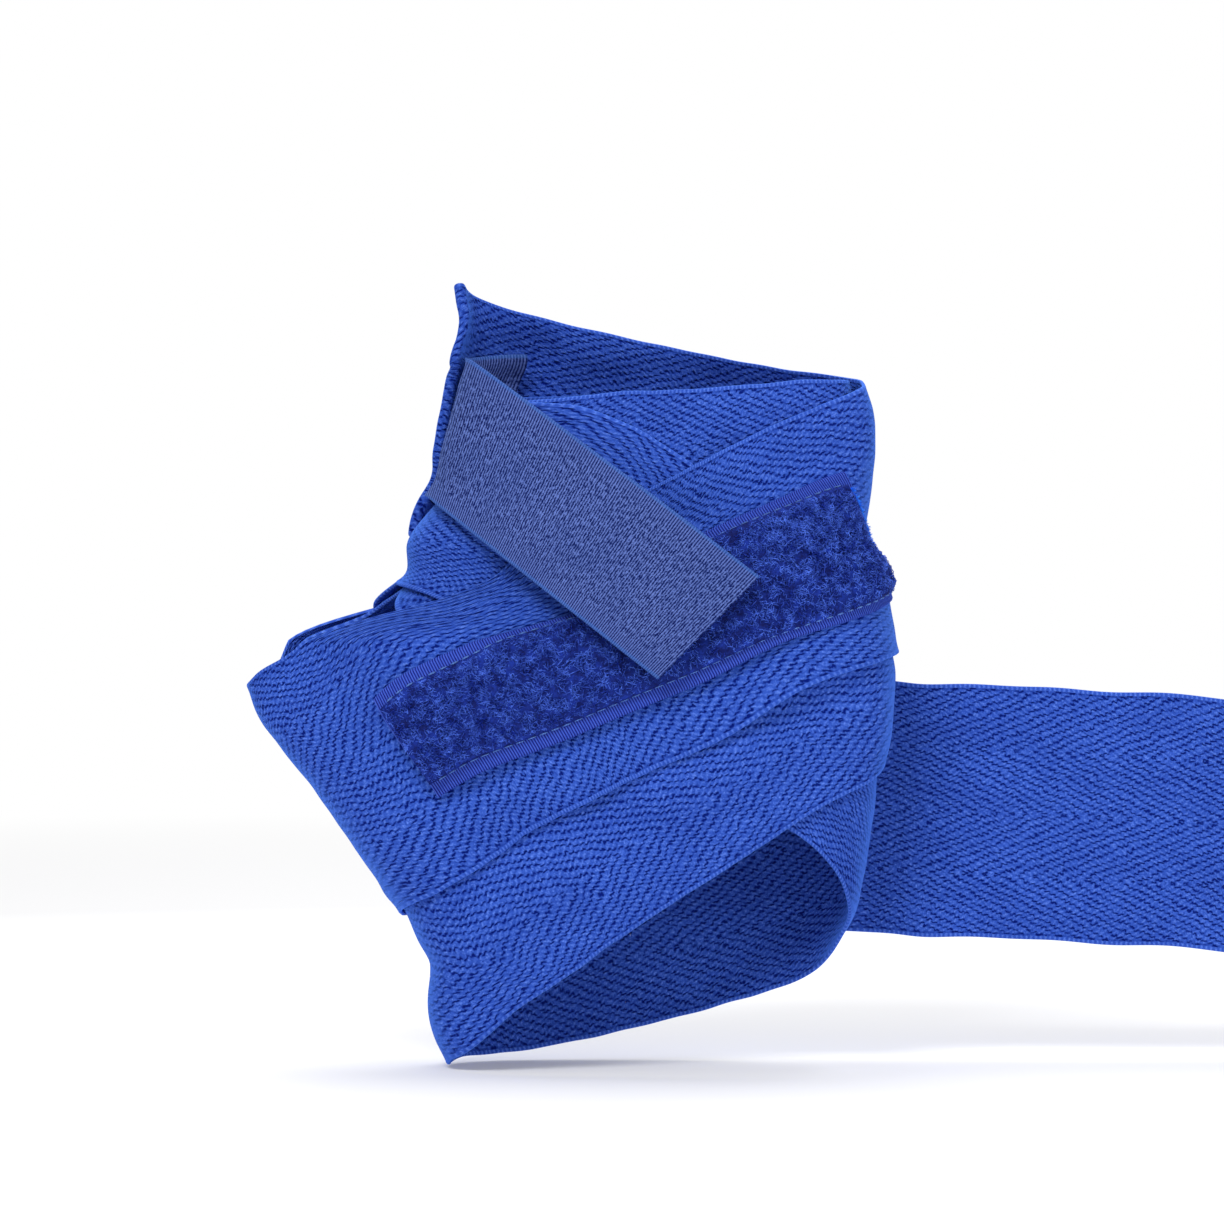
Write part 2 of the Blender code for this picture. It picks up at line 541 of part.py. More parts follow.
def thumb_loop():
    """A narrow tape folded into a loop: its two ends hold the tail's point between them, sewn through."""
    rows = np.linspace(-1, 1, 3) * THUMB_TAPE_WIDTH / WEBBING_WIDTH
    end_x = TAIL_HINGE_X + TAIL_COUNT * TAIL_SEGMENT - HINGE_GAP / 2
    tail_middle = WEBBING_THICKNESS / 2
    for name, side in (("back", 1), ("front", -1)):
        away = tail_middle + side * (WEBBING_THICKNESS / 2 + FACE_GAP)
        stations = (end_x - FACE_GAP, end_x - THUMB_SEAM_LENGTH)[::side]
        columns = [tail_row(x, rows) + (0, away, 0) for x in stations]
        sheet("thumb_loop_seam_" + name, np.array(columns), WEBBING_THICKNESS, "thumb_tape")
    seam_y = tail_middle - WEBBING_THICKNESS * 1.5 - FACE_GAP - THREAD_CLEARANCE
    corners = [(end_x - 2 * MM, -0.8), (end_x - 2 * MM, 0.8), (end_x - 10 * MM, 0.8), (end_x - 10 * MM, -0.8)]
    seam = [tail_row(x, np.array([row]) * rows[2])[0] + (0, seam_y, 0) for x, row in corners]
    thread("thumb_loop_stitching", seam, closed=True)

    hinge = tail_row(end_x + HINGE_GAP / 2, np.zeros(1))[0] + (0, tail_middle, 0)
    columns = []
    reach = THUMB_LOOP_LENGTH / 2
    for angle in np.radians(np.linspace(-THUMB_LOOP_SWEEP, THUMB_LOOP_SWEEP, 25)):
        x = hinge[0] + HINGE_GAP / 2 + reach * (1 + math.cos(angle))
        fullness = 1 - THUMB_LOOP_TAPER * math.sin(angle / 2) ** 2
        away = THUMB_LOOP_OPENING / 2 * math.sin(angle) * fullness + tail_middle
        column = tail_row(hinge[0], rows) + (0, away, 0)
        column[:, 0] = x
        columns.append(column)
    sheet("thumb_loop", np.array(columns), WEBBING_THICKNESS, "thumb_tape", hinge)
    print("thumb loop folds at", np.round(hinge - ORIGIN, 5))


def main():
    for obj in list(bpy.data.objects):
        bpy.data.objects.remove(obj)
    maps = stack_layers()
    wound_strip(maps)
    end_hem(maps)
    loop_patch(maps)
    hook_tape(maps)
    hook_tape_stitching(maps)
    tail()
    thumb_loop()


main()
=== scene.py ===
"""Looks of a boxing hand wrap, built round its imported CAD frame.

The webbing is one strip. It lies on skin(turn, z), the guide surface of the hand that isn't part of the
object. turn counts half turns round the hand: it is whole on the thumb side (even) and on the little
finger side (odd), the palm lies between an even number and the next odd one, and the back between an odd
one and the next even one. z runs up towards the fingers and -Y is the palm side. The guide surface, the
strip's way and the heights of its layers are the CAD's, sampled much finer. Lengths are in metres here,
and in millimetres in every UV map, so that each weave keeps its true size.
"""

import json
import math

import bpy
import numpy as np
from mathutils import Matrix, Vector


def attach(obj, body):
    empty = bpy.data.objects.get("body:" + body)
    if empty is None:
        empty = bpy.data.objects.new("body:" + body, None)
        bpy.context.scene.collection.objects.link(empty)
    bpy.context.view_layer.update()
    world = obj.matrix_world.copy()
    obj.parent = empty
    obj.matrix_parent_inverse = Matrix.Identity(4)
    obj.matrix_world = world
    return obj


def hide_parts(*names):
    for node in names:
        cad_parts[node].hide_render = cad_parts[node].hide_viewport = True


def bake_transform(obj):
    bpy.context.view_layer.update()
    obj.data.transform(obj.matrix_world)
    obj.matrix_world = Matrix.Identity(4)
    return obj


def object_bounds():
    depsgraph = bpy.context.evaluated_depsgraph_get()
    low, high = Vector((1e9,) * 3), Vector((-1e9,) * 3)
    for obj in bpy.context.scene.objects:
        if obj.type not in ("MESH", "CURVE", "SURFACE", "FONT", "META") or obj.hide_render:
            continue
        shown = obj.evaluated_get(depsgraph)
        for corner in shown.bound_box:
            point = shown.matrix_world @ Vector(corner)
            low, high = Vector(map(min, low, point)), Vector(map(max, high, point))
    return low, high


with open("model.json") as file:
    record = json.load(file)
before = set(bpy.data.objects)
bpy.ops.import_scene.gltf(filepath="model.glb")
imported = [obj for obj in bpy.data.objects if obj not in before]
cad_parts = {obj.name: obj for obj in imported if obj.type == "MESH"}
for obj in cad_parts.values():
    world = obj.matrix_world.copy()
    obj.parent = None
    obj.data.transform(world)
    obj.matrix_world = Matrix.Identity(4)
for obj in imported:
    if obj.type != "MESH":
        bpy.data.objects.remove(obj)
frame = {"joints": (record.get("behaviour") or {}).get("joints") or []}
cad_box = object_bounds()

MM = 0.001

# Driving dimensions, the same as the CAD's
WEBBING_WIDTH = 50 * MM
WEBBING_THICKNESS = 0.8 * MM
LAYER_GAP = 1.0 * MM
TAPE_THICKNESS = 0.8 * MM
HOOK_HEIGHT = 0.8 * MM
LOOP_TAPE_THICKNESS = 0.6 * MM
PILE_HEIGHT = 1.0 * MM
FACE_GAP = 0.4 * MM
HEM_GAP = 0.7 * MM
HEM_TURNS = 0.1
TAIL_FLAT_X = 46 * MM
THUMB_TAPE_WIDTH = 16 * MM
THUMB_LOOP_LENGTH = 40 * MM
THUMB_LOOP_OPENING = 18 * MM
THUMB_SEAM_LENGTH = 12 * MM
TAIL_POINT = 14 * MM
HINGE_GAP = 1.4 * MM
TAIL_SLOPE = -0.052
TAIL_ROOT_LENGTH = 26 * MM  # of the cloth between the wound turns and the flat tail

# The CAD's origin, in the hand's coordinates
ORIGIN = np.array((50 * MM, 19.4 * MM, -21.792 * MM))
TAIL_LEVEL = ORIGIN[1]
JOINTS = {joint["name"]: np.array(joint["pos_m"]) + ORIGIN for joint in frame["joints"]}
TAIL_HINGES = [JOINTS[f"tail_fold_{number}"] for number in (1, 2, 3)]
TAIL_END_X = JOINTS["thumb_loop_swing"][0] - HINGE_GAP / 2

# The hand's outline seen from the palm side, as (z, x) in mm, and half of its depth, as (z, depth)
THUMB_SIDE = (
    (-72, -37.5), (-60, -41), (-52, -40.5), (-47, -43), (-41, -45.5), (-19, -60), (3, -75.5),
    (10, -76), (17, -57), (22.5, -45.5), (31, -43), (40, -36), (48, -33.8), (60, -30.6), (67, -29),
    (75, -33), (84, -35.5),
)
LITTLE_FINGER_SIDE = (
    (-72, 34), (-60, 35.5), (-50, 38), (-42, 41.5), (-28, 44.4), (-20, 45.5), (-10, 46), (3, 43.5),
    (9, 41.4), (20, 39.3), (31, 38.4), (40, 40.8), (51, 42), (62, 41), (84, 39),
)
HALF_DEPTH = ((-72, 17), (-50, 18.5), (-20, 18.5), (0, 17), (30, 14.5), (60, 12.5), (84, 11))
ROUNDNESS = 2.8
THUMB_ROOT_X = -38 * MM
THUMB_ROOT_REACH = 38 * MM
THUMB_THINNING = 0.36
NORMAL_TURNS = 0.02
NORMAL_REACH = 6 * MM

# Middle line and half height of the strip along its way, as (turn, z, half height) in mm
STRIP_PATH = (
    (1.38, -20, 25), (1.46, -13, 27), (1.54, 2, 30.5), (1.64, 17, 30.5), (1.76, 30.5, 24.5), (1.82, 36, 20),
    (1.88, 38.2, 18.7), (2.0, 40, 18.0), (2.12, 39.5, 18.5), (2.25, 37.5, 20.5), (2.5, 35.5, 24.7),
    (2.75, 37.5, 24.7), (3.0, 38, 24.5), (3.25, 37, 24.5), (3.5, 36, 24.5), (3.75, 37.5, 22),
    (4.0, 40, 18.0), (4.12, 40, 18.8), (4.25, 38.9, 19.0), (4.37, 35.3, 21.0), (4.5, 24, 25.5),
    (4.63, 10.5, 27.5), (4.75, -2.7, 25.3), (4.87, -13, 26.5), (5.0, -19, 27.5), (5.12, -24, 28),
    (5.25, -29, 28.5),
    (5.5, -38, 28), (5.75, -42, 28.5), (6.0, -42, 29.5), (6.12, -40.5, 29.5), (6.25, -37.3, 29),
    (6.37, -26.7, 28.8), (6.5, -15.3, 28.7), (6.63, -3.9, 28.4), (6.75, 7.6, 28.1), (6.87, 13, 27.8),
    (7.0, 16.5, 27.5), (7.12, 23, 27), (7.25, 31.5, 26), (7.37, 31.5, 25.5), (7.5, 18, 28.5),
    (7.63, 6, 29.5), (7.75, -10, 28.0), (7.87, -20, 21.5), (8.0, -19.1, 22.1), (8.12, -17.5, 22.2),
    (8.25, -12, 24.2), (8.37, 2, 29.6), (8.5, 11.7, 29.5), (8.63, 20.9, 29.5), (8.75, 29.5, 27.2),
    (8.87, 33, 27), (9.0, 34.6, 27.2), (9.25, 38, 26.5), (9.5, 44, 26), (9.75, 52, 26), (9.91, 56, 25.5),
)
STRIP_START = STRIP_PATH[0][0]
STRIP_END = STRIP_PATH[-1][0]
END_SHEAR = 0.06
SHEARED_TURNS = 0.4
LAYER_ORDER = (2, 4, 5, 1, 3, 6, 7, 8, 9)
SIDE_JOINTS = [(number, number + 1) for number in range(1, 9)] + [("tape_sewn", "hook_tape")]

# Loop patch: its edges as (turn, share of the strip's half height)
PATCH_TURNS = (8.32, 8.94)
PATCH_LOW = ((8.32, -0.5), (8.45, -0.6), (8.7, -0.63), (8.94, -0.57))
PATCH_HIGH = ((8.32, 0.14), (8.43, 0.15), (8.6, 0.42), (8.94, 0.48))
SELVEDGE = 0.08
PILE_END_MARGIN = 0.014
PATCH_END_SLANT = 0.17  # the patch's outer end is cut aslant: its upper corner ends this much sooner
PATCH_END_HINGE = 0.2  # the height, as a share of the patch's width, at which the slant changes nothing
PATCH_END_TURNS = 0.3  # how far back from its end the patch starts to slant and to lie closer
PATCH_END_GAP = 0.1 * MM  # left between the webbing and the patch's outer end, which is sewn down onto it

# Hook tape: its upper and lower corners at the side of the hand and at its tip, as (x, z) in mm
TAPE_SIDE = ((-34.0, 67.2), (-42.0, 40.3))
TAPE_TIP = ((22.5, 23.9), (3.4, 4.6))
TAPE_LEVEL = 5 * MM
TAPE_SLACK = 4 * MM
TAPE_SEWN_TURN = 9.74
TAPE_ROOT_SHARE = 0.13
TAPE_FOLD_SHARE = 0.55
TAPE_BEND = 0.045  # a share of the tape's length, taken to each side of its folds
TAPE_HALF_WIDTH = 14 * MM
AIMING_ROUNDS = 5
HOOK_MARGIN = 0.03
HOOK_INSET = 0.16
HOOK_PITCH = 1.15 * MM
HOOK_ROW_PITCH = 0.95 * MM
HOOK_STEM = 0.62 * MM
HOOK_NECK = 0.3 * MM
HOOK_RADIUS = 0.24 * MM  # of the bent head
HOOK_BEND = math.radians(215)
HOOK_THREAD_RADIUS = 0.1 * MM
TAPE_SEAM_TURNS = (9.745, 9.785)
TAPE_SEAM_ROWS = (-0.42, 0.3)

# Colours of each cloth, from its darkest on. The webbing's darkest is partly painted shade in its pits,
# its third is painted highlight on its knots, and its last one is painted sheen, for where it is seen along
# itself.
COLOURS = {
    "webbing": ((0.001, 0.010, 0.17), (0.032, 0.093, 0.50), (0.150, 0.290, 0.90), (0.065, 0.190, 0.78)),
    "hook_tape": ((0.0005, 0.006, 0.080), (0.115, 0.178, 0.50)),
    "hooks": ((0.030, 0.070, 0.30), (0.085, 0.180, 0.58)),
    "loop_tape": ((0.004, 0.010, 0.16), (0.055, 0.110, 0.56)),
    "loop_pile": ((0.001, 0.005, 0.08), (0.010, 0.035, 0.32)),
    # the pile fibres' lighter colour is partly painted highlight and glint, besides their own varied tone
    "pile_fibre": ((0.004, 0.018, 0.26), (0.090, 0.200, 0.85)),
    "fringe": ((0.012, 0.110, 0.80), (0.040, 0.300, 1.0)),
    "thread": ((0.030, 0.100, 0.45), (0.150, 0.340, 0.90)),
    "thumb_tape": ((0.014, 0.036, 0.26), (0.055, 0.135, 0.66)),
}

# Studio. WORLD_STRENGTH lights the object, and WORLD_SEEN is what the camera sees behind it.
WORLD_STRENGTH = 0.42
WORLD_SEEN = 1.0
LAMP_TARGET = (-0.04, 0, 0.03)
# Lamps: name, place, size and power
LAMPS = (
    ("key", (-0.42, -1.05, 0.85), 0.45, 11.5),
    ("fill", (0.75, -0.9, 0.25), 0.9, 4.2),
    ("top", (0.0, 0.25, 1.1), 0.8, 6),
    ("behind", (0.1, 0.9, 0.6), 0.9, 3),
)
CAMERA_PLACE = (-0.0555, -1.0374, 0.0391)
CAMERA_LENS_MM = 152
FLOOR_RADIUS = 12
FLOOR_FADE = (0.35, 1.3)  # distances from the object at which the floor starts and ends fading
FLOOR_COLOUR = (0.82, 0.82, 0.83)
FLOOR_GLOW = 0.12  # lightens the shadow on the floor

MAP_COLUMNS = 96
MAP_LOW, MAP_HIGH = -76 * MM, 88 * MM
MAP_STEP = 1 * MM
SIDE_FADE = 0.2
SETTLING_ROUNDS = 3
DRAPE_REACH = 5
TAPE_REACH = 9

# Stretches of the wound webbing, each a piece of its own: name, turns, columns per turn, rows, and the
# CAD nodes that it stands for. They meet edge to edge.
STRETCHES = (
    ("webbing_first_turns", (STRIP_START, 5.5), 150, 50, ("webbing_knuckle_turn", "webbing_palm_cross")),
    ("webbing_middle_turns", (5.5, 7.5), 250, 80, ("webbing_wrist_turn",)),
    ("webbing_last_turns", (7.5, STRIP_END), 210, 80, ("webbing_thumb_turn", "webbing_closing_end")),
)
# The pile's mat lies low, and lower still at its edges, so that the curled fibres end at the CAD's height
PILE_BUMP = 0.16 * MM
PILE_SINK = 0.3 * MM
PILE_EDGE_SINK = 0.55 * MM
PILE_FIBRES = 13000
FRINGE_FIBRES = 900
PILE_FIBRE_RADIUS = 0.075 * MM
# Ribs across the loop tape's selvedges, and how far its lips press down
RIB_PITCH = 0.52 * MM
RIB_HEIGHT = 0.07 * MM
LIP_DROP = 0.25 * MM
EDGE_DROP = 0.4 * MM  # how far a selvedge sinks onto the layer beneath
EDGE_REACH = 5 * MM
EDGE_RIPPLE = 0.12 * MM
SELVEDGE_CORD = 0.5 * MM  # how far from its edge a ribbon may be thicker
EDGE_ARC = 3  # points round each edge of a ribbon
WRINKLE = 0.09 * MM

# Stitches, as (length of one, distance from one to the next)
PATCH_STITCH = (1.6 * MM, 2.4 * MM)
LOOP_STITCH = (1.7 * MM, 2.4 * MM)
BACK_STITCH = (2.0 * MM, 2.9 * MM)
THREAD_RADIUS = 0.14 * MM
HEM_THREAD_RADIUS = 0.17 * MM


def smooth(points, scale=MM):
    """A curve through (place, value) points, as a function of place. Extremes stay at the points."""
    place, value = (np.array(column, float) * scale for column in zip(*points))
    slope = np.diff(value) / np.diff(place)
    tangent = np.concatenate([slope[:1], (slope[1:] + slope[:-1]) / 2, slope[-1:]])
    tangent[1:-1][slope[1:] * slope[:-1] <= 0] = 0

    def curve(at):
        at = np.clip(at, place[0], place[-1])
        i = np.clip(np.searchsorted(place, at, side="right") - 1, 0, len(place) - 2)
        step = place[i + 1] - place[i]
        u = (at - place[i]) / step
        start = (1 + 2 * u) * (1 - u) ** 2 * value[i] + u * (1 - u) ** 2 * step * tangent[i]
        end = u * u * (3 - 2 * u) * value[i + 1] - u * u * (1 - u) * step * tangent[i + 1]
        return start + end

    return curve


thumb_side = smooth(THUMB_SIDE)
little_finger_side = smooth(LITTLE_FINGER_SIDE)
half_depth = smooth(HALF_DEPTH)
strip_middle = smooth([(turn, z * MM) for turn, z, _ in STRIP_PATH], 1)
strip_half = smooth([(turn, half * MM) for turn, _, half in STRIP_PATH], 1)
patch_low = smooth(PATCH_LOW, 1)
patch_high = smooth(PATCH_HIGH, 1)


def eased(share):
    share = np.clip(share, 0, 1)
    return share * share * (3 - 2 * share)


def wander(u, v, size, seed):
    """Smooth noise of about -1 to 1 over a plane: a sum of waves about size long, in random directions."""
    random = np.random.default_rng(seed)
    total = 0
    for _ in range(10):
        angle, phase = random.uniform(0, 2 * math.pi, 2)
        length = size * random.uniform(0.7, 1.7)
        total = total + np.sin((u * math.cos(angle) + v * math.sin(angle)) * 2 * math.pi / length + phase)
    return total / 4


def skin(turn, z):
    """Points of the hand's skin at a turn and a height, as an array of x, y, z."""
    turn, z = np.broadcast_arrays(np.asarray(turn, float), np.asarray(z, float))
    across, deep = np.cos(math.pi * turn), np.sin(math.pi * turn)
    radius = (np.abs(across) ** ROUNDNESS + np.abs(deep) ** ROUNDNESS) ** (-1 / ROUNDNESS)
    left, right = thumb_side(z), little_finger_side(z)
    x = (left + right) / 2 - (right - left) / 2 * across * radius
    thin = 1 - THUMB_THINNING * eased((THUMB_ROOT_X - x) / THUMB_ROOT_REACH)
    return np.stack([x, -half_depth(z) * thin * deep * radius, z], axis=-1)


def unit(vectors):
    return vectors / np.linalg.norm(vectors, axis=-1, keepdims=True)


def skin_normal(turn, z):
    """Unit vectors that point out of the hand, taken over a wide patch."""
    along = skin(turn + NORMAL_TURNS, z) - skin(turn - NORMAL_TURNS, z)
    up = skin(turn, z + NORMAL_REACH) - skin(turn, z - NORMAL_REACH)
    return unit(np.cross(along, up))


def turn_on_palm(x, z, lift):
    """The turn, from 0 to 1, whose palm-side point lies at x when it stands lift above the skin."""
    left, right = thumb_side(z), little_finger_side(z)
    share = np.clip(((left + right) / 2 - x) / ((right - left) / 2 + lift), -0.9999, 0.9999)
    deep = (1 - np.abs(share) ** ROUNDNESS) ** (1 / ROUNDNESS)
    return np.arctan2(deep, share) / math.pi


def strip_turn(turn, row):
    """Where a point of the strip really lies along it: the end is cut aslant."""
    return turn + END_SHEAR * row * np.clip((turn - STRIP_END) / SHEARED_TURNS + 1, 0, 1)


class HeightMaps:
    """How high each layer lies above the skin, on a grid of turn and z for each pass."""

    def __init__(self):
        self.share = np.linspace(0, 1, MAP_COLUMNS)
        self.z = np.arange(MAP_LOW, MAP_HIGH, MAP_STEP)
        self.floor = {}
        self.clear()

    def clear(self):
        self.top = [np.zeros((MAP_COLUMNS, len(self.z))) for _ in range(2)]
        self.lift = {}

    def strip_mask(self, number):
        turn = number + self.share[:, None]
        row = (self.z[None, :] - strip_middle(turn)) / strip_half(turn)
        inside = np.abs(self.z[None, :] - strip_middle(turn)) <= strip_half(turn) + MAP_STEP
        return inside & (turn >= STRIP_START) & (turn <= STRIP_END + END_SHEAR * np.clip(row, -1, 1))

    def lay(self, name, side, mask, thickness, reach=DRAPE_REACH, gap=LAYER_GAP):
        """Adds a layer: the lowest smooth sheet that stays above its side's top and its own floor."""
        high = grown(np.maximum(self.top[side], self.floor.get(name, 0)), reach)
        for _ in range(2):
            high = averaged(high, reach // 2)
        self.lift[name] = high
        self.top[side] = np.where(mask, high + thickness + gap, self.top[side])

    def at(self, name, share, z):
        """Height of a layer between the grid's points."""
        column = np.clip(share, 0, 1) * (MAP_COLUMNS - 1)
        row = np.clip((z - MAP_LOW) / MAP_STEP, 0, len(self.z) - 1.001)
        i = np.minimum(column.astype(int), MAP_COLUMNS - 2)
        j = row.astype(int)
        u, v = column - i, row - j
        grid = self.lift[name]
        low = grid[i, j] * (1 - u) + grid[i + 1, j] * u
        high = grid[i, j + 1] * (1 - u) + grid[i + 1, j + 1] * u
        return low * (1 - v) + high * v

    def raise_floors(self):
        """Makes each layer reach, at the side of the hand, the height of the one it goes on as."""
        fade = 1 - eased(self.share[:, None] / SIDE_FADE)
        for before, after in SIDE_JOINTS:
            height = np.maximum(self.lift[before][-1], self.lift[after][0])
            for name, share in ((before, fade[::-1]), (after, fade)):
                self.floor[name] = np.maximum(self.floor.get(name, 0), height * share)

    def join_at_sides(self):
        """Closes the small steps that are left where one pass goes on as the next."""
        fade = 1 - eased(self.share[:, None] / SIDE_FADE)
        for before, after in SIDE_JOINTS:
            middle = np.maximum(self.lift[before][-1], self.lift[after][0])
            self.lift[before] = self.lift[before] + (middle - self.lift[before][-1]) * fade[::-1]
            self.lift[after] = self.lift[after] + (middle - self.lift[after][0]) * fade


def grown(grid, reach):
    """Each cell takes the highest value within reach. The edges repeat outwards."""
    padded = np.pad(grid, reach, mode="edge")
    size = grid.shape
    shifts = range(2 * reach + 1)
    rows = np.max([padded[:, j : j + size[1]] for j in shifts], axis=0)
    return np.max([rows[i : i + size[0], :] for i in shifts], axis=0)


def averaged(grid, reach):
    padded = np.pad(grid, reach, mode="edge")
    size = grid.shape
    shifts = range(2 * reach + 1)
    rows = np.mean([padded[:, j : j + size[1]] for j in shifts], axis=0)
    return np.mean([rows[i : i + size[0], :] for i in shifts], axis=0)


def tape_points(share, row):
    """Palm-side x and z on the hook tape: share runs from the side of the hand to the tip, row from its
    lower edge (-1) to its upper edge (1)."""
    side_high, side_low, tip_high, tip_low = (np.array(p) * MM for p in (*TAPE_SIDE, *TAPE_TIP))
    share, row = share[..., None], (row[..., None] + 1) / 2
    low = side_low + (tip_low - side_low) * share
    high = side_high + (tip_high - side_high) * share
    points = low + (high - low) * row
    return points[..., 0], points[..., 1]


def lay_everything(maps):
    """Lays every pass in order, and the tape and its patch where they go between them."""
    share, z = np.meshgrid(maps.share, maps.z, indexing="ij")
    lowest, highest = TAPE_SIDE[1][1] * MM - TAPE_SLACK, TAPE_SIDE[0][1] * MM
    sewn = (share >= TAPE_SEWN_TURN - 9) & (z > lowest) & (z < highest)
    place = (z - strip_middle(8 + share)) / strip_half(8 + share)
    patch = (place > patch_low(8 + share)) & (place < patch_high(8 + share))
    patch &= (share > PATCH_TURNS[0] - 8) & (share < PATCH_TURNS[1] - 8)
    everywhere = np.ones_like(patch)
    for number in LAYER_ORDER:
        if number == 9:
            maps.lay("tape_sewn", 1, sewn, TAPE_THICKNESS)
        maps.lay(number, number % 2, maps.strip_mask(number), WEBBING_THICKNESS)
    maps.lay("loop_tape", 0, patch, LOOP_TAPE_THICKNESS, gap=FACE_GAP)
    maps.lay("loop_pile", 0, patch, PILE_HEIGHT)
    maps.lay("hooks", 0, everywhere, HOOK_HEIGHT, TAPE_REACH, FACE_GAP)
    maps.lay("hook_tape", 0, everywhere, TAPE_THICKNESS)


def stack_layers():
    maps = HeightMaps()
    for _ in range(SETTLING_ROUNDS):
        maps.clear()
        lay_everything(maps)
        maps.raise_floors()
    maps.join_at_sides()
    return maps


# ---------------------------------------------------------------------------------------------------
# Meshes


def outward_first(points, faces):
    """The faces, turned round if they point into the body."""
    quads = np.array([face for face in faces if len(face) == 4])
    corners = points[quads]
    volume = np.einsum("ij,ij->i", corners[:, 0], np.cross(corners[:, 1], corners[:, 2])).sum()
    volume += np.einsum("ij,ij->i", corners[:, 0], np.cross(corners[:, 2], corners[:, 3])).sum()
    return faces if volume > 0 else [face[::-1] for face in faces]


def piece(name, points, faces, uv, slot, sharp_degrees=50):
    """A named object from points in the hand's coordinates. Its UV map is in millimetres."""
    mesh = bpy.data.meshes.new(name)
    mesh.from_pydata((points - ORIGIN).tolist(), [], faces)
    layer = mesh.uv_layers.new(name="cloth")
    corners = np.empty(len(mesh.loops), np.int32)
    mesh.loops.foreach_get("vertex_index", corners)
    layer.data.foreach_set("uv", (uv[corners] / MM).astype(np.float32).ravel())
    mesh.shade_smooth()
    mesh.set_sharp_from_angle(angle=math.radians(sharp_degrees))
    mesh.materials.append(material(slot))
    obj = bpy.data.objects.new(name, mesh)
    bpy.context.scene.collection.objects.link(obj)
    return obj


def ribbon(name, inner, normal, along, across, slot, thickness=WEBBING_THICKNESS, swell=0.0):
    """A closed strip of cloth from the grid of its inner face: columns along it, rows across it. Its
    edges are round, and thicker by the share swell."""
    columns, rows, _ = inner.shape
    from_edge = np.minimum(across.max(axis=1)[:, None] - across, across - across.min(axis=1)[:, None])
    thick = thickness * (1 + swell * np.exp(-((from_edge / SELVEDGE_CORD) ** 2)))[..., None]
    middle = inner + normal * thickness / 2
    under, over = middle - normal * thick / 2, middle + normal * thick / 2
    angles = np.linspace(0, math.pi, EDGE_ARC + 2)[1:-1]
    arcs = []
    for edge, inside in ((-1, -2), (0, 1)):
        start, up, across_edge = middle[:, edge], normal[:, edge], thick[:, edge]
        out = unit(start - middle[:, inside])
        ring = [start + (out * math.sin(a) - up * math.cos(a)) * across_edge / 2 for a in angles]
        arcs.append(np.stack(ring if edge == -1 else ring[::-1], axis=1))
    points = np.concatenate([under, arcs[0], over[:, ::-1], arcs[1]], axis=1)
    reach = thickness / 2 * np.sin(angles)
    v = np.concatenate([across, across[:, -1:] + reach, across[:, ::-1], across[:, :1] - reach], axis=1)
    first, last = np.repeat(along[:, :1], EDGE_ARC, 1), np.repeat(along[:, -1:], EDGE_ARC, 1)
    u = np.concatenate([along, last, along[:, ::-1], first], axis=1)
    size = points.shape[1]
    index = np.arange(columns * size).reshape(columns, size)
    turned = np.roll(index, -1, axis=1)
    sides = np.stack([index[:-1], turned[:-1], turned[1:], index[1:]], axis=-1).reshape(-1, 4).tolist()
    for ring, order in ((index[0], 1), (index[-1], -1)):
        opposite = ring[rows + EDGE_ARC : 2 * rows + EDGE_ARC][::-1]
        caps = np.stack([ring[: rows - 1], opposite[:-1], opposite[1:], ring[1:rows]], axis=-1).tolist()
        caps.append([int(i) for i in ring[rows - 1 : rows + EDGE_ARC + 1]][::-1])
        caps.append([int(ring[0]), *(int(i) for i in ring[2 * rows + EDGE_ARC - 1 :][::-1])][::-1])
        sides += [face[::order] for face in caps]
    flat = points.reshape(-1, 3)
    uv = np.stack([u.ravel(), v.ravel()], axis=-1)
    return piece(name, flat, outward_first(flat, sides), uv, slot)


def tubes(name, paths, radius, slot, sides=4, tip=1.0):
    """Many short round threads in one object, from an array of paths: thread, point, place. Each is
    closed, and its ends are tip times as thick as its middle."""
    count, length, _ = paths.shape
    along = unit(np.gradient(paths, axis=1))
    helper = np.where(np.abs(along[..., 2:]) < 0.9, (0, 0, 1.0), (1.0, 0, 0))
    first = unit(np.cross(along, helper))
    second = np.cross(along, first)
    share = np.abs(np.linspace(-1, 1, length)) ** 4
    thick = radius * (1 + (tip - 1) * share)[None, :, None, None]
    angles = np.linspace(0, 2 * math.pi, sides, endpoint=False)[:, None]
    ring = np.cos(angles) * first[:, :, None] + np.sin(angles) * second[:, :, None]
    points = paths[:, :, None] + ring * thick
    index = np.arange(count * length * sides).reshape(count, length, sides)
    turned = np.roll(index, -1, axis=2)
    quads = np.stack([index[:, :-1], turned[:, :-1], turned[:, 1:], index[:, 1:]], axis=-1)
    faces = quads.reshape(-1, 4).tolist()
    faces += index[:, 0, ::-1].tolist() + index[:, -1].tolist()
    flat = points.reshape(-1, 3)
    distance = np.cumsum(np.linalg.norm(np.diff(paths, axis=1, prepend=paths[:, :1]), axis=-1), axis=1)
    u = np.repeat(distance[:, :, None], sides, axis=2)
    v = np.broadcast_to(np.arange(sides) * radius, u.shape)
    uv = np.stack([u.ravel(), v.ravel()], axis=-1)
    return piece(name, flat, outward_first(flat, faces), uv, slot, 80)


# ---------------------------------------------------------------------------------------------------
# Wound webbing


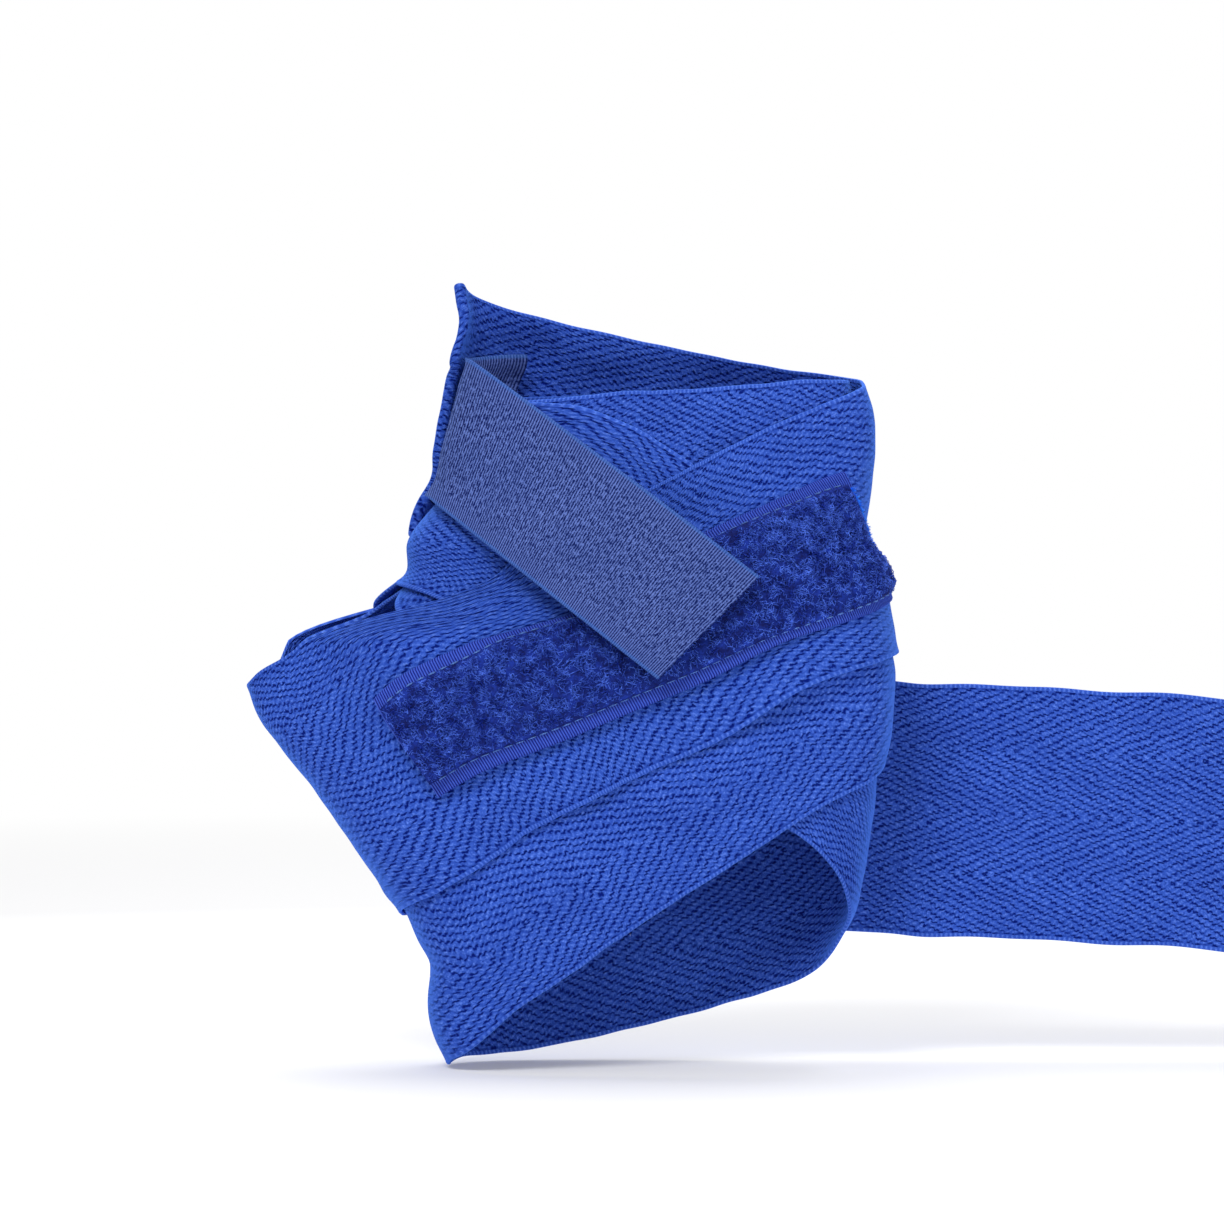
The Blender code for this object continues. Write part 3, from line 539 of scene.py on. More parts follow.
def strip_column(maps, turn, rows, place, clearance=0.0):
    """Inner face and normals across the strip at one turn. place is how far along the strip it is."""
    half = strip_half(turn)
    edge = eased(1 - (1 - np.abs(rows)) * half / EDGE_REACH)
    ripple = EDGE_RIPPLE * wander(place, 0, 11 * MM, 4) * rows ** 5
    z = strip_middle(turn) + rows * half + ripple
    turns = strip_turn(turn, rows)
    number = min(int(turn), 9)
    lift = maps.at(number, turns - number, z) + clearance - EDGE_DROP * edge
    lift = lift + WRINKLE * wander(place / 2.5, rows * WEBBING_WIDTH / 2, 7 * MM, 5)
    normal = skin_normal(turns, z)
    return skin(turns, z) + normal * lift[:, None], normal


def strip_lengths():
    """How far along the strip's middle each turn is, as a function of turn."""
    turns = np.linspace(STRIP_START, STRIP_END, 1200)
    middle = skin(turns, strip_middle(turns))
    steps = np.linalg.norm(np.diff(middle, axis=0, prepend=middle[:1]), axis=1)
    lengths = np.cumsum(steps)
    rise = np.gradient(middle[:, 2]) / np.maximum(np.gradient(lengths), 1e-9)
    for _ in range(3):
        rise = np.convolve(np.pad(rise, 12, mode="edge"), np.ones(25) / 25, "valid")
    return lambda turn: (np.interp(turn, turns, lengths), np.interp(turn, turns, rise))


def strip_surface(maps, lengths, turns, rows, clearance=0.0):
    """Inner face, normals and cloth coordinates of the strip at each turn and row."""
    inner, normals, along = [], [], []
    for turn in turns:
        place, rise = lengths(turn)
        points, normal = strip_column(maps, turn, rows, place, clearance)
        inner.append(points)
        normals.append(normal)
        along.append(place + rows * strip_half(turn) * rise)
    across = np.broadcast_to(rows * WEBBING_WIDTH / 2, (len(turns), len(rows)))
    return np.array(inner), np.array(normals), np.array(along), across


def tail_row(x, rows):
    """Points across the flat tail at x. Rows run from its lower edge (-1) to its upper one (1)."""
    z = TAIL_HINGES[0][2] + TAIL_SLOPE * (x - TAIL_HINGES[0][0]) + rows * WEBBING_WIDTH / 2
    return np.stack([np.full_like(z, x), np.full_like(z, TAIL_LEVEL), z], axis=-1)


def tail_root(surface, rows):
    """Columns that lead the flat tail onto the strip's first column, on the back of the hand."""
    inner, normals, along, across = surface
    flat, first = tail_row(TAIL_FLAT_X, rows), inner[0]
    steps = 26
    columns, directions, places = [], [], []
    reach = np.linalg.norm(first[len(rows) // 2] - flat[len(rows) // 2])
    for share in np.linspace(0, 1, steps, endpoint=False):
        column = flat + (first - flat) * share
        column[:, 1] = TAIL_LEVEL + (first[:, 1] - TAIL_LEVEL) * eased(share)
        columns.append(column)
        directions.append(unit((0, 1, 0) * np.ones_like(first) * (1 - share) + normals[0] * share))
        places.append(along[0] * share - reach * (1 - share))
    root_across = np.broadcast_to(across[0], (steps, len(rows)))
    pairs = ((columns, inner), (directions, normals), (places, along), (root_across, across))
    return [np.concatenate(pair) for pair in pairs]


def wound_webbing(maps, lengths):
    """The strip's wound stretches. The first one starts on the flat tail."""
    for name, (first, last), per_turn, row_count, nodes in STRETCHES:
        rows = np.linspace(-1, 1, row_count + 1)
        rows = np.sign(rows) * (1 - (1 - np.abs(rows)) ** 1.15)
        turns = np.linspace(first, last, int((last - first) * per_turn) + 1)
        surface = strip_surface(maps, lengths, turns, rows)
        if first == STRIP_START:
            surface = tail_root(surface, rows)
        webbing = ribbon(name, *surface, "webbing")
        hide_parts(*nodes)
        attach(webbing, "wrap")


def end_hem(maps, lengths):
    """The webbing's end folded back on its outer face, as one fold with a round crease."""
    rows = np.linspace(-1, 1, 61)
    clearance = WEBBING_THICKNESS + HEM_GAP
    turns = np.linspace(STRIP_END, STRIP_END - HEM_TURNS, 24)
    inner, normal, along, across = strip_surface(maps, lengths, turns, rows, clearance)
    base, base_normal, base_along, _ = strip_surface(maps, lengths, turns[:1], rows)
    forward = unit(inner[0] - inner[1])
    radius = clearance / 2
    crease, crease_normal = [], []
    half_thickness = WEBBING_THICKNESS / 2
    middle = (base[0] + base_normal[0] * half_thickness + inner[0] + normal[0] * half_thickness) / 2
    angles = np.linspace(-math.pi / 2, math.pi / 2, 9)[:-1]
    for angle in angles:
        out = forward * math.cos(angle) + normal[0] * math.sin(angle)
        crease.append(middle + out * radius + out * half_thickness)
        crease_normal.append(-out)
    folded = inner + normal * WEBBING_THICKNESS
    points = np.concatenate([crease, folded])
    normals = np.concatenate([crease_normal, -normal])
    start = base_along[0]
    round_lengths = [start + radius * (angle + math.pi / 2) for angle in angles]
    back = start + radius * math.pi + (along[0] - along)
    hem = ribbon(
        "webbing_end_hem", points, normals, np.concatenate([round_lengths, back]),
        np.broadcast_to(across[0], (len(points), len(rows))), "webbing",
    )
    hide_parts("webbing_end_hem")
    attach(hem, "wrap")


# ---------------------------------------------------------------------------------------------------
# Loop patch


def patch_surface(maps, layer, turns, rows, inset, clearance=0.0):
    """Grid on the loop patch. Rows run from its lower edge (0) to its upper one (1)."""
    inner, normals, across = [], [], []
    for turn in turns:
        near_end = eased((turn - PATCH_TURNS[1]) / PATCH_END_TURNS + 1)
        place = turn - PATCH_END_SLANT * (rows - PATCH_END_HINGE) * near_end
        low, high = patch_low(place) + inset, patch_high(place) - inset
        offset = (low + (high - low) * rows) * strip_half(place)
        z = strip_middle(place) + offset
        webbing_top = maps.at(8, place - 8, z) + WEBBING_THICKNESS
        gap = maps.at("loop_tape", place - 8, z) - webbing_top - PATCH_END_GAP
        lift = maps.at(layer, place - 8, z) + clearance - gap * near_end
        normal = skin_normal(place, z)
        inner.append(skin(place, z) + normal * lift[:, None])
        normals.append(normal)
        across.append(offset)
    return np.array(inner), np.array(normals), np.array(across)


def arc_lengths(grid):
    """Distance along each row of a grid of points."""
    steps = np.linalg.norm(np.diff(grid, axis=0, prepend=grid[:1]), axis=-1)
    return np.cumsum(steps, axis=0)


def loop_tape(maps):
    """The woven ground of the patch. Fine ribs run across its two selvedges."""
    rows = np.linspace(0, 1, 41)
    turns = np.linspace(*PATCH_TURNS, 620)
    inner, normal, across = patch_surface(maps, "loop_tape", turns, rows, 0)
    along = arc_lengths(inner)
    from_edge = np.minimum(across - across[:, :1], across[:, -1:] - across)
    rib = np.sin(along * 2 * math.pi / RIB_PITCH)
    on_selvedge = eased((2.0 * MM - from_edge) / (0.3 * MM))
    lip = np.exp(-((from_edge / (1.2 * MM)) ** 2))
    inner = inner + normal * (RIB_HEIGHT * rib * on_selvedge - LIP_DROP * lip)[..., None]
    tape = ribbon("loop_tape", inner, normal, along, across, "loop_tape", LOOP_TAPE_THICKNESS, 0.5)
    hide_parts("loop_tape")
    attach(tape, "wrap")


def loop_pile(maps):
    """The brushed pile: an uneven mat under thousands of fine curled fibres."""
    start, end = PATCH_TURNS
    rows = np.linspace(0, 1, 61)
    turns = np.linspace(start + PILE_END_MARGIN * 0.2, end - PILE_END_MARGIN * 0.3, 200)
    inner, normal, across = patch_surface(maps, "loop_pile", turns, rows, SELVEDGE)
    along = arc_lengths(inner)
    from_edge = np.minimum(across - across[:, :1], across[:, -1:] - across)
    from_end = np.minimum(along - along[:1], along[-1:] - along)
    rounding = eased(np.minimum(from_edge, from_end) / (1.5 * MM))
    bumps = PILE_BUMP * wander(along, across, 1.3 * MM, 11) + PILE_BUMP * wander(along, across, 4 * MM, 12)
    sunk = inner + normal * ((bumps - PILE_SINK) * rounding - PILE_EDGE_SINK * (1 - rounding))[..., None]
    mat = ribbon("loop_pile_mat", sunk, normal, along, across, "loop_pile", PILE_HEIGHT * 0.75)
    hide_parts("loop_pile")
    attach(mat, "wrap")

    random = np.random.default_rng(7)
    column = random.integers(1, len(turns) - 1, PILE_FIBRES)
    row = random.integers(1, len(rows) - 1, PILE_FIBRES)
    thick_here = wander(along, across, 3.2 * MM, 13)[column, row] + random.normal(0, 0.7, PILE_FIBRES)
    column, row = column[thick_here > -0.25], row[thick_here > -0.25]
    count = len(column)
    root = (sunk + normal * PILE_HEIGHT * 0.7)[column, row]
    out = normal[column, row]
    side = unit(np.cross(out, random.normal(size=(count, 3))))
    other = np.cross(out, side)
    span = random.uniform(0.5, 1.5, count)[:, None] * MM
    height = random.uniform(0.15, 0.75, count)[:, None] * MM * rounding[column, row][:, None]
    bend = random.normal(0, 0.35, count)[:, None] * MM
    share = np.linspace(0, 1, 7)[None, :, None]
    path = root[:, None] + side[:, None] * span[:, None] * (share - 0.5)
    path = path + out[:, None] * height[:, None] * np.sin(share * math.pi)
    path = path + other[:, None] * bend[:, None] * np.sin(share * 2 * math.pi)
    curls = tubes("loop_pile_fibres", path, PILE_FIBRE_RADIUS, "pile_fibre", 3)
    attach(curls, "wrap")
    pile_fringe(sunk + normal * PILE_HEIGHT * 0.5, normal, random)


def pile_fringe(points, normals, random):
    """Frayed fibres that stand out of the pile's cut outer end."""
    row = random.uniform(1, points.shape[1] - 2, FRINGE_FIBRES)
    at = row.astype(int)
    last, before = points[-1, at], points[-3, at]
    out = unit(last - before + random.normal(0, 0.15, (FRINGE_FIBRES, 3)) * MM)
    up = unit(normals[-1, at] + random.normal(0, 0.5, (FRINGE_FIBRES, 3)))
    reach = random.uniform(0.5, 1.3, FRINGE_FIBRES)[:, None] * MM
    start = last - out * 0.5 * MM + (points[-1, at + 1] - last) * (row - at)[:, None]
    share = np.linspace(0, 1, 6)[None, :, None]
    path = start[:, None] + (out * reach)[:, None] * share + (up * reach)[:, None] * share ** 2 * 0.5
    fringe = tubes("loop_pile_fringe", path, PILE_FIBRE_RADIUS, "fringe", 3, 0.5)
    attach(fringe, "wrap")


def stitch_paths(points, normals, stitch_and_pitch, height):
    """Short raised threads along a line."""
    stitch, pitch = stitch_and_pitch
    distance = np.concatenate([[0], np.cumsum(np.linalg.norm(np.diff(points, axis=0), axis=1))])
    count = int(distance[-1] / pitch)
    paths = []
    for number in range(count):
        share = np.linspace(0, 1, 7)
        at = (number + 0.2) * pitch + share * stitch
        place = np.stack([np.interp(at, distance, points[:, axis]) for axis in range(3)], axis=-1)
        out = np.stack([np.interp(at, distance, normals[:, axis]) for axis in range(3)], axis=-1)
        rise = height * (1 - np.abs(2 * share - 1) ** 3 * 1.6)
        paths.append(place + unit(out) * rise[:, None])
    return paths


def seam(name, paths, body, radius=THREAD_RADIUS):
    """The threads of one seam, riding on a body."""
    threads = tubes(name, np.array(paths), radius, "thread", 8, 0.6)
    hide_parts(name)
    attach(threads, body)


def patch_stitching(maps):
    """The seam round the patch, just inside its selvedges. It stands well up, as pile crowds round it."""
    start, end = PATCH_TURNS
    rise = 0.42 * MM
    inset = SELVEDGE * 0.84
    clearance = LOOP_TAPE_THICKNESS * 1.25
    turns = np.linspace(start + 0.01, end - 0.006, 300)
    lower = patch_surface(maps, "loop_tape", turns, np.array([0.0]), inset, clearance)
    upper = patch_surface(maps, "loop_tape", turns, np.array([1.0]), inset, clearance)
    rows = np.linspace(0, 1, 40)
    paths = []
    for points, normals, _ in (lower, upper):
        paths += stitch_paths(points[:, 0], normals[:, 0], PATCH_STITCH, rise)
    for turn in (turns[:1] - 0.003, turns[-1:] + 0.002):
        points, normals, _ = patch_surface(maps, "loop_tape", turn, rows, inset, clearance)
        paths += stitch_paths(points[0], normals[0], PATCH_STITCH, rise)
    seam("loop_patch_stitching", paths, "wrap")


# ---------------------------------------------------------------------------------------------------
# Hook tape


def aimed(maps, layer, x, z):
    """The turn and height on the skin from which the tape, lying at its own lift, reaches x and z."""
    aim_x, aim_z = x, z
    for _ in range(AIMING_ROUNDS):
        turn = turn_on_palm(aim_x, aim_z, TAPE_LEVEL)
        reached = skin(turn, aim_z) + skin_normal(turn, aim_z) * maps.at(layer, turn, aim_z)[:, None]
        aim_x = aim_x + (x - reached[:, 0])
        aim_z = aim_z + (z - reached[:, 2])
    return turn, aim_z


def tape_surface(maps, layer, shares, rows):
    """Inner face of the hook tape. Shares below 0 lie round the side of the hand, on its back."""
    inner, normals = [], []
    for share in shares:
        x, z = tape_points(np.full_like(rows, max(share, 0)), rows)
        turn, z = aimed(maps, layer, x, z)
        turn = turn + min(share, 0)
        lift = np.where(turn < 0, maps.at("tape_sewn", turn + 1, z), maps.at(layer, turn, z))
        normal = skin_normal(turn, z)
        inner.append(skin(turn, z) + normal * lift[:, None])
        normals.append(normal)
    return np.array(inner), np.array(normals)


def tape_length():
    """Length of the tape's palm side, and half of its width at the side of the hand."""
    (side_high, side_low), (tip_high, tip_low) = np.array(TAPE_SIDE) * MM, np.array(TAPE_TIP) * MM
    length = np.linalg.norm((tip_high + tip_low) / 2 - (side_high + side_low) / 2)
    return length, np.linalg.norm(side_high - side_low) / 2


def hook_tape(maps):
    """The hook tape in three pieces that meet edge to edge: the sewn root, the inner half and the tip half."""
    length, half_width = tape_length()
    middle_share = (TAPE_ROOT_SHARE + TAPE_FOLD_SHARE) / 2
    stretches = (
        ("hook_tape_root", np.linspace(TAPE_SEWN_TURN - 10, 0, 80)),
        ("hook_tape_inner_half", np.linspace(0, middle_share, 90)),
        ("hook_tape_tip_half", np.linspace(middle_share, 1, 170)),
    )
    rows = np.linspace(-1, 1, 71)
    made = []
    for name, shares in stretches:
        inner, normals = tape_surface(maps, "hook_tape", shares, rows)
        along = np.broadcast_to((shares * length)[:, None], inner.shape[:2])
        across = np.broadcast_to(rows * half_width, inner.shape[:2])
        tape = ribbon(name, inner, normals, along, across, "hook_tape", TAPE_THICKNESS * 0.8)
        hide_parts(name)
        made.append(tape)
    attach(made[0], "wrap")
    hooks = [hook_field(maps, name, *span) for name, span in (
        ("inner_half", (TAPE_ROOT_SHARE + HOOK_MARGIN, middle_share)),
        ("tip_half", (middle_share, 1 - HOOK_MARGIN)),
    )]
    folds = ((TAPE_ROOT_SHARE, ("wrap", "hook_flap")), (TAPE_FOLD_SHARE, ("hook_flap", "hook_tip")))
    for tape, field, (share, bodies) in zip(made[1:], hooks, folds):
        near, _ = tape_surface(maps, "hook_tape", [share - TAPE_BEND, share + TAPE_BEND], np.zeros(1))
        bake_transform(tape)
        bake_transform(field)


def hook_field(maps, name, first, last):
    """Rows of small bent hooks on the tape's inner face."""
    length, half_width = tape_length()
    columns = int((last - first) * length / HOOK_PITCH)
    rows = int(2 * half_width * (1 - HOOK_INSET) / HOOK_ROW_PITCH)
    shares = np.linspace(first, last, columns, endpoint=False)
    places = np.linspace(-1 + HOOK_INSET, 1 - HOOK_INSET, rows)
    inner, normals = tape_surface(maps, "hook_tape", shares, places)
    forward = unit(np.gradient(inner, axis=0))
    lean = np.where(np.arange(rows) % 2 == 0, 1, -1)[None, :, None]
    root = (inner + normals * 0.1 * MM).reshape(-1, 3)
    down = -normals.reshape(-1, 3)
    lean = (forward * lean).reshape(-1, 3)
    angle = np.linspace(0, HOOK_BEND, 7)
    stem = np.linspace(0, HOOK_STEM, 3)[:-1]
    deep = np.concatenate([stem, stem[-1] + HOOK_NECK + HOOK_RADIUS * np.sin(angle)])
    out = np.concatenate([stem * 0, HOOK_RADIUS * (1 - np.cos(angle))])
    paths = root[:, None] + down[:, None] * deep[None, :, None] + lean[:, None] * out[None, :, None]
    field = tubes("hook_bristles_" + name, paths, HOOK_THREAD_RADIUS, "hooks", 4, 0.8)
    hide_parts("hook_bristles_" + name)
    return field


# ---------------------------------------------------------------------------------------------------
# Seams on the back


def strip_line(maps, lengths, turn_rows, clearance):
    """Points and normals of the strip at (turn, row) places, some clearance above its inner face."""
    points, normals = [], []
    for turn, row in turn_rows:
        place, _ = lengths(turn)
        point, normal = strip_column(maps, turn, np.array([row]), place, clearance)
        points.append(point[0])
        normals.append(normal[0])
    return np.array(points), np.array(normals)


def back_seams(maps, lengths):
    """The stitches along the hem, and the box of stitches that holds the hook tape."""
    hem_turn = STRIP_END - HEM_TURNS * 0.85
    hem_top = 2 * WEBBING_THICKNESS + HEM_GAP
    rise = 0.18 * MM
    line = [(hem_turn, row) for row in np.linspace(-0.97, 0.97, 120)]
    hem_paths = stitch_paths(*strip_line(maps, lengths, line, hem_top), BACK_STITCH, rise)
    seam("hem_stitching", hem_paths, "wrap", HEM_THREAD_RADIUS)

    (left, right), (low, high) = TAPE_SEAM_TURNS, TAPE_SEAM_ROWS
    corners = [(left, low), (left, high), (right, high), (right, low), (left, low)]
    paths = []
    for (turn_a, row_a), (turn_b, row_b) in zip(corners, corners[1:]):
        share = np.linspace(0, 1, 60)
        line = [(turn_a + (turn_b - turn_a) * s, row_a + (row_b - row_a) * s) for s in share]
        points, normals = strip_line(maps, lengths, line, WEBBING_THICKNESS)
        paths += stitch_paths(points, normals, BACK_STITCH, rise)
    seam("hook_tape_stitching", paths, "wrap")


# ---------------------------------------------------------------------------------------------------
# Tail and thumb loop


def tail():
    """The free end of the webbing, in pieces that meet in the middle of each CAD segment."""
    middles = [(a[0] + b[0]) / 2 for a, b in zip(TAIL_HINGES, TAIL_HINGES[1:])]
    cuts = [TAIL_FLAT_X, *middles, TAIL_END_X]
    rows = np.linspace(-1, 1, 61)
    for number in range(3):
        first, last = cuts[number], cuts[number + 1]
        xs = np.linspace(first, last, int((last - first) / (0.6 * MM)) + 1)
        point = np.clip((xs - (TAIL_END_X - TAIL_POINT)) / TAIL_POINT, 0, 1)
        width = 1 - (1 - THUMB_TAPE_WIDTH * 0.9 / WEBBING_WIDTH) * point
        columns, across = [], []
        for x, share in zip(xs, width):
            column = tail_row(x, rows * share)
            calm = eased((x - TAIL_FLAT_X) / (12 * MM)) * eased((TAIL_END_X - x) / (20 * MM))
            column[:, 1] += calm * 0.35 * MM * wander(column[:, 0], column[:, 2], 26 * MM, 21)
            column[:, 2] += calm * 0.5 * MM * wander(x, 0, 24 * MM, 22) * np.abs(rows) ** 3
            columns.append(column)
            across.append(rows * share * WEBBING_WIDTH / 2)
        inner = np.array(columns)[::-1]
        normal = np.broadcast_to((0.0, 1.0, 0.0), inner.shape)
        along = np.broadcast_to(-(xs[::-1] - TAIL_FLAT_X)[:, None], inner.shape[:2])
        name = f"webbing_tail_{number + 1}"
        cloth = ribbon(name, inner, normal, along - TAIL_ROOT_LENGTH, np.array(across)[::-1], "webbing")
        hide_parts(name)
        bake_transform(cloth)


def thumb_loop_path(hinge_x, middle_y, away):
    """The thumb loop's line seen from above, as even (x, y) points, and how far along it each one is."""
    reach = THUMB_LOOP_LENGTH / 2
    angles = np.radians(np.linspace(-158, 158, 90))
    fullness = 1 - 0.45 * np.sin(angles / 2) ** 2
    loop_x = hinge_x + HINGE_GAP / 2 + reach * (1 + np.cos(angles))
    loop_y = middle_y + THUMB_LOOP_OPENING / 2 * np.sin(angles) * fullness
    loop = np.stack([loop_x, loop_y], axis=-1)
    xs = np.linspace(TAIL_END_X - THUMB_SEAM_LENGTH, TAIL_END_X, 16)
    front = np.stack([xs, np.full_like(xs, middle_y - away)], axis=-1)
    back = np.stack([xs[::-1], np.full_like(xs, middle_y + away)], axis=-1)
    path = np.concatenate([front, loop, back])
    for _ in range(6):
        path[1:-1] = (path[:-2] + path[1:-1] * 2 + path[2:]) / 4
    distance = np.concatenate([[0], np.cumsum(np.linalg.norm(np.diff(path, axis=0), axis=1))])
    even = np.linspace(0, distance[-1], 300)
    return np.stack([np.interp(even, distance, path[:, axis]) for axis in range(2)], axis=-1), even


def thumb_loop():
    """A narrow tape: its two ends hold the tail's point between them, and its middle is the loop."""
    hinge = JOINTS["thumb_loop_swing"]
    middle_y = TAIL_LEVEL + WEBBING_THICKNESS / 2
    away = WEBBING_THICKNESS + FACE_GAP
    path, even = thumb_loop_path(hinge[0], middle_y, away)
    tangent = unit(np.gradient(path, axis=0))
    out = np.stack([tangent[:, 1], -tangent[:, 0], np.zeros(len(path))], axis=-1)
    rows = np.linspace(-1, 1, 25)
    slope = TAIL_SLOPE * (np.minimum(path[:, :1], hinge[0]) - hinge[0])
    z = hinge[2] + slope + rows * THUMB_TAPE_WIDTH / 2
    inner = np.stack(np.broadcast_arrays(path[:, :1], path[:, 1:], z), axis=-1)
    normal = np.broadcast_to(out[:, None], inner.shape)
    inner = inner - normal * WEBBING_THICKNESS / 2
    along = np.broadcast_to(even[:, None], z.shape)
    across = np.broadcast_to(rows * THUMB_TAPE_WIDTH / 2, z.shape)
    tape = ribbon("thumb_loop", inner, normal, along, across, "thumb_tape")
    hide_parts("thumb_loop", "thumb_loop_seam_back", "thumb_loop_seam_front")
    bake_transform(tape)

    seam_y = middle_y - away - WEBBING_THICKNESS / 2
    seam("thumb_loop_stitching", crossed_box(seam_y), "tail_3")


def crossed_box(seam_y):
    """Stitches round the thumb loop's seam and over its two diagonals."""
    near, far, side, rise = -2 * MM, -10 * MM, 0.8, 0.15 * MM
    corners = (
        (near, -side), (near, side), (far, side), (far, -side),
        (near, -side), (far, side), (far, -side), (near, side),
    )
    paths = []
    share = np.linspace(0, 1, 40)[:, None]
    for ends in zip(corners, corners[1:]):
        start, end = (
            tail_row(TAIL_END_X + x, np.array([row]) * THUMB_TAPE_WIDTH / WEBBING_WIDTH) for x, row in ends
        )
        points = start + (end - start) * share
        points[:, 1] = seam_y
        normals = np.broadcast_to((0.0, -1.0, 0.0), points.shape)
        paths += stitch_paths(points, normals, LOOP_STITCH, rise)
    return paths


# ---------------------------------------------------------------------------------------------------
# Materials


class Graph:
    """Builds a material's nodes. Sockets and plain numbers can be mixed freely."""

    def __init__(self, name):
        self.material = bpy.data.materials.new(name)
        self.material.use_nodes = True
        self.tree = self.material.node_tree
        self.shader = self.tree.nodes["Principled BSDF"]

    def put(self, socket, value):
        if isinstance(value, bpy.types.NodeSocket):
            self.tree.links.new(value, socket)
        elif value is not None:
            socket.default_value = value

    def math(self, operation, *values):
        node = self.tree.nodes.new("ShaderNodeMath")
        node.operation = operation
        for socket, value in zip(node.inputs, values):
            self.put(socket, value)
        return node.outputs[0]

    def add(self, *values):
        total = values[0]
        for value in values[1:]:
            total = self.math("ADD", total, value)
        return total

    def times(self, *values):
        total = values[0]
        for value in values[1:]:
            total = self.math("MULTIPLY", total, value)
        return total

    def ramp(self, value, low, high, start=0.0, end=1.0):
        """value taken from low..high to start..end, smoothly and clamped."""
        node = self.tree.nodes.new("ShaderNodeMapRange")
        node.interpolation_type = "SMOOTHSTEP"
        for socket, each in zip(node.inputs, (value, low, high, start, end)):
            self.put(socket, each)
        return node.outputs[0]

    def mix(self, factor, first, second):
        node = self.tree.nodes.new("ShaderNodeMix")
        node.data_type = "RGBA"
        self.put(node.inputs["Factor"], factor)
        colour_inputs = [socket for socket in node.inputs if socket.type == "RGBA"]
        self.put(colour_inputs[0], (*first, 1) if isinstance(first, tuple) else first)
        self.put(colour_inputs[1], (*second, 1) if isinstance(second, tuple) else second)
        return next(socket for socket in node.outputs if socket.type == "RGBA")

    def cloth(self):
        """The two cloth coordinates in millimetres."""
        uv = self.tree.nodes.new("ShaderNodeUVMap")
        uv.uv_map = "cloth"
        split = self.tree.nodes.new("ShaderNodeSeparateXYZ")
        self.put(split.inputs[0], uv.outputs[0])
        return split.outputs[0], split.outputs[1]

    def vector(self, x, y, z=0.0):
        node = self.tree.nodes.new("ShaderNodeCombineXYZ")
        for socket, value in zip(node.inputs, (x, y, z)):
            self.put(socket, value)
        return node.outputs[0]

    def noise(self, vector, scale, detail=2.0, roughness=0.5):
        node = self.tree.nodes.new("ShaderNodeTexNoise")
        self.put(node.inputs["Vector"], vector)
        node.inputs["Scale"].default_value = scale
        node.inputs["Detail"].default_value = detail
        node.inputs["Roughness"].default_value = roughness
        return node.outputs[0]

    def centred(self, value):
        return self.math("SUBTRACT", value, 0.5)

    def chance(self, first, second):
        """A number from 0 to 1 for each pair of whole numbers."""
        node = self.tree.nodes.new("ShaderNodeTexWhiteNoise")
        node.noise_dimensions = "2D"
        self.put(node.inputs["Vector"], self.vector(first, second))
        return node.outputs["Value"]

    def from_middle(self, share):
        """0 in the middle of a repeat that runs from 0 to 1, and 1 at its ends."""
        return self.math("ABSOLUTE", self.math("MULTIPLY_ADD", share, 2.0, -1.0))

    def painted_sheen_mask(self, start, end, most=1.0):
        """How nearly the surface is seen along itself, away from the bump's detail: the mask of a painted
        sheen.
        """
        weight = self.tree.nodes.new("ShaderNodeLayerWeight")
        weight.inputs["Blend"].default_value = 0.5
        return self.ramp(weight.outputs["Facing"], start, end + 0.35, 0.0, most)

    def place(self):
        return self.tree.nodes.new("ShaderNodeNewGeometry").outputs["Position"]

    def bump(self, height, distance):
        node = self.tree.nodes.new("ShaderNodeBump")
        node.inputs["Strength"].default_value = 1.0
        node.inputs["Distance"].default_value = distance
        self.put(node.inputs["Height"], height)
        return node.outputs[0]

    def finish(self, colour, roughness, specular, height=None, distance=0.0, sheen=0.0):
        """Sets the shader. height is the bump's, in steps of distance."""
        self.put(self.shader.inputs["Base Color"], colour)
        self.put(self.shader.inputs["Roughness"], roughness)
        self.put(self.shader.inputs["Specular IOR Level"], specular)
        self.put(self.shader.inputs["Sheen Weight"], sheen)
        self.put(self.shader.inputs["Sheen Roughness"], 0.45)
        self.put(self.shader.inputs["Sheen Tint"], (0.45, 0.62, 1.0, 1))
        if height is not None:
            self.put(self.shader.inputs["Normal"], self.bump(height, distance))
        return self.material


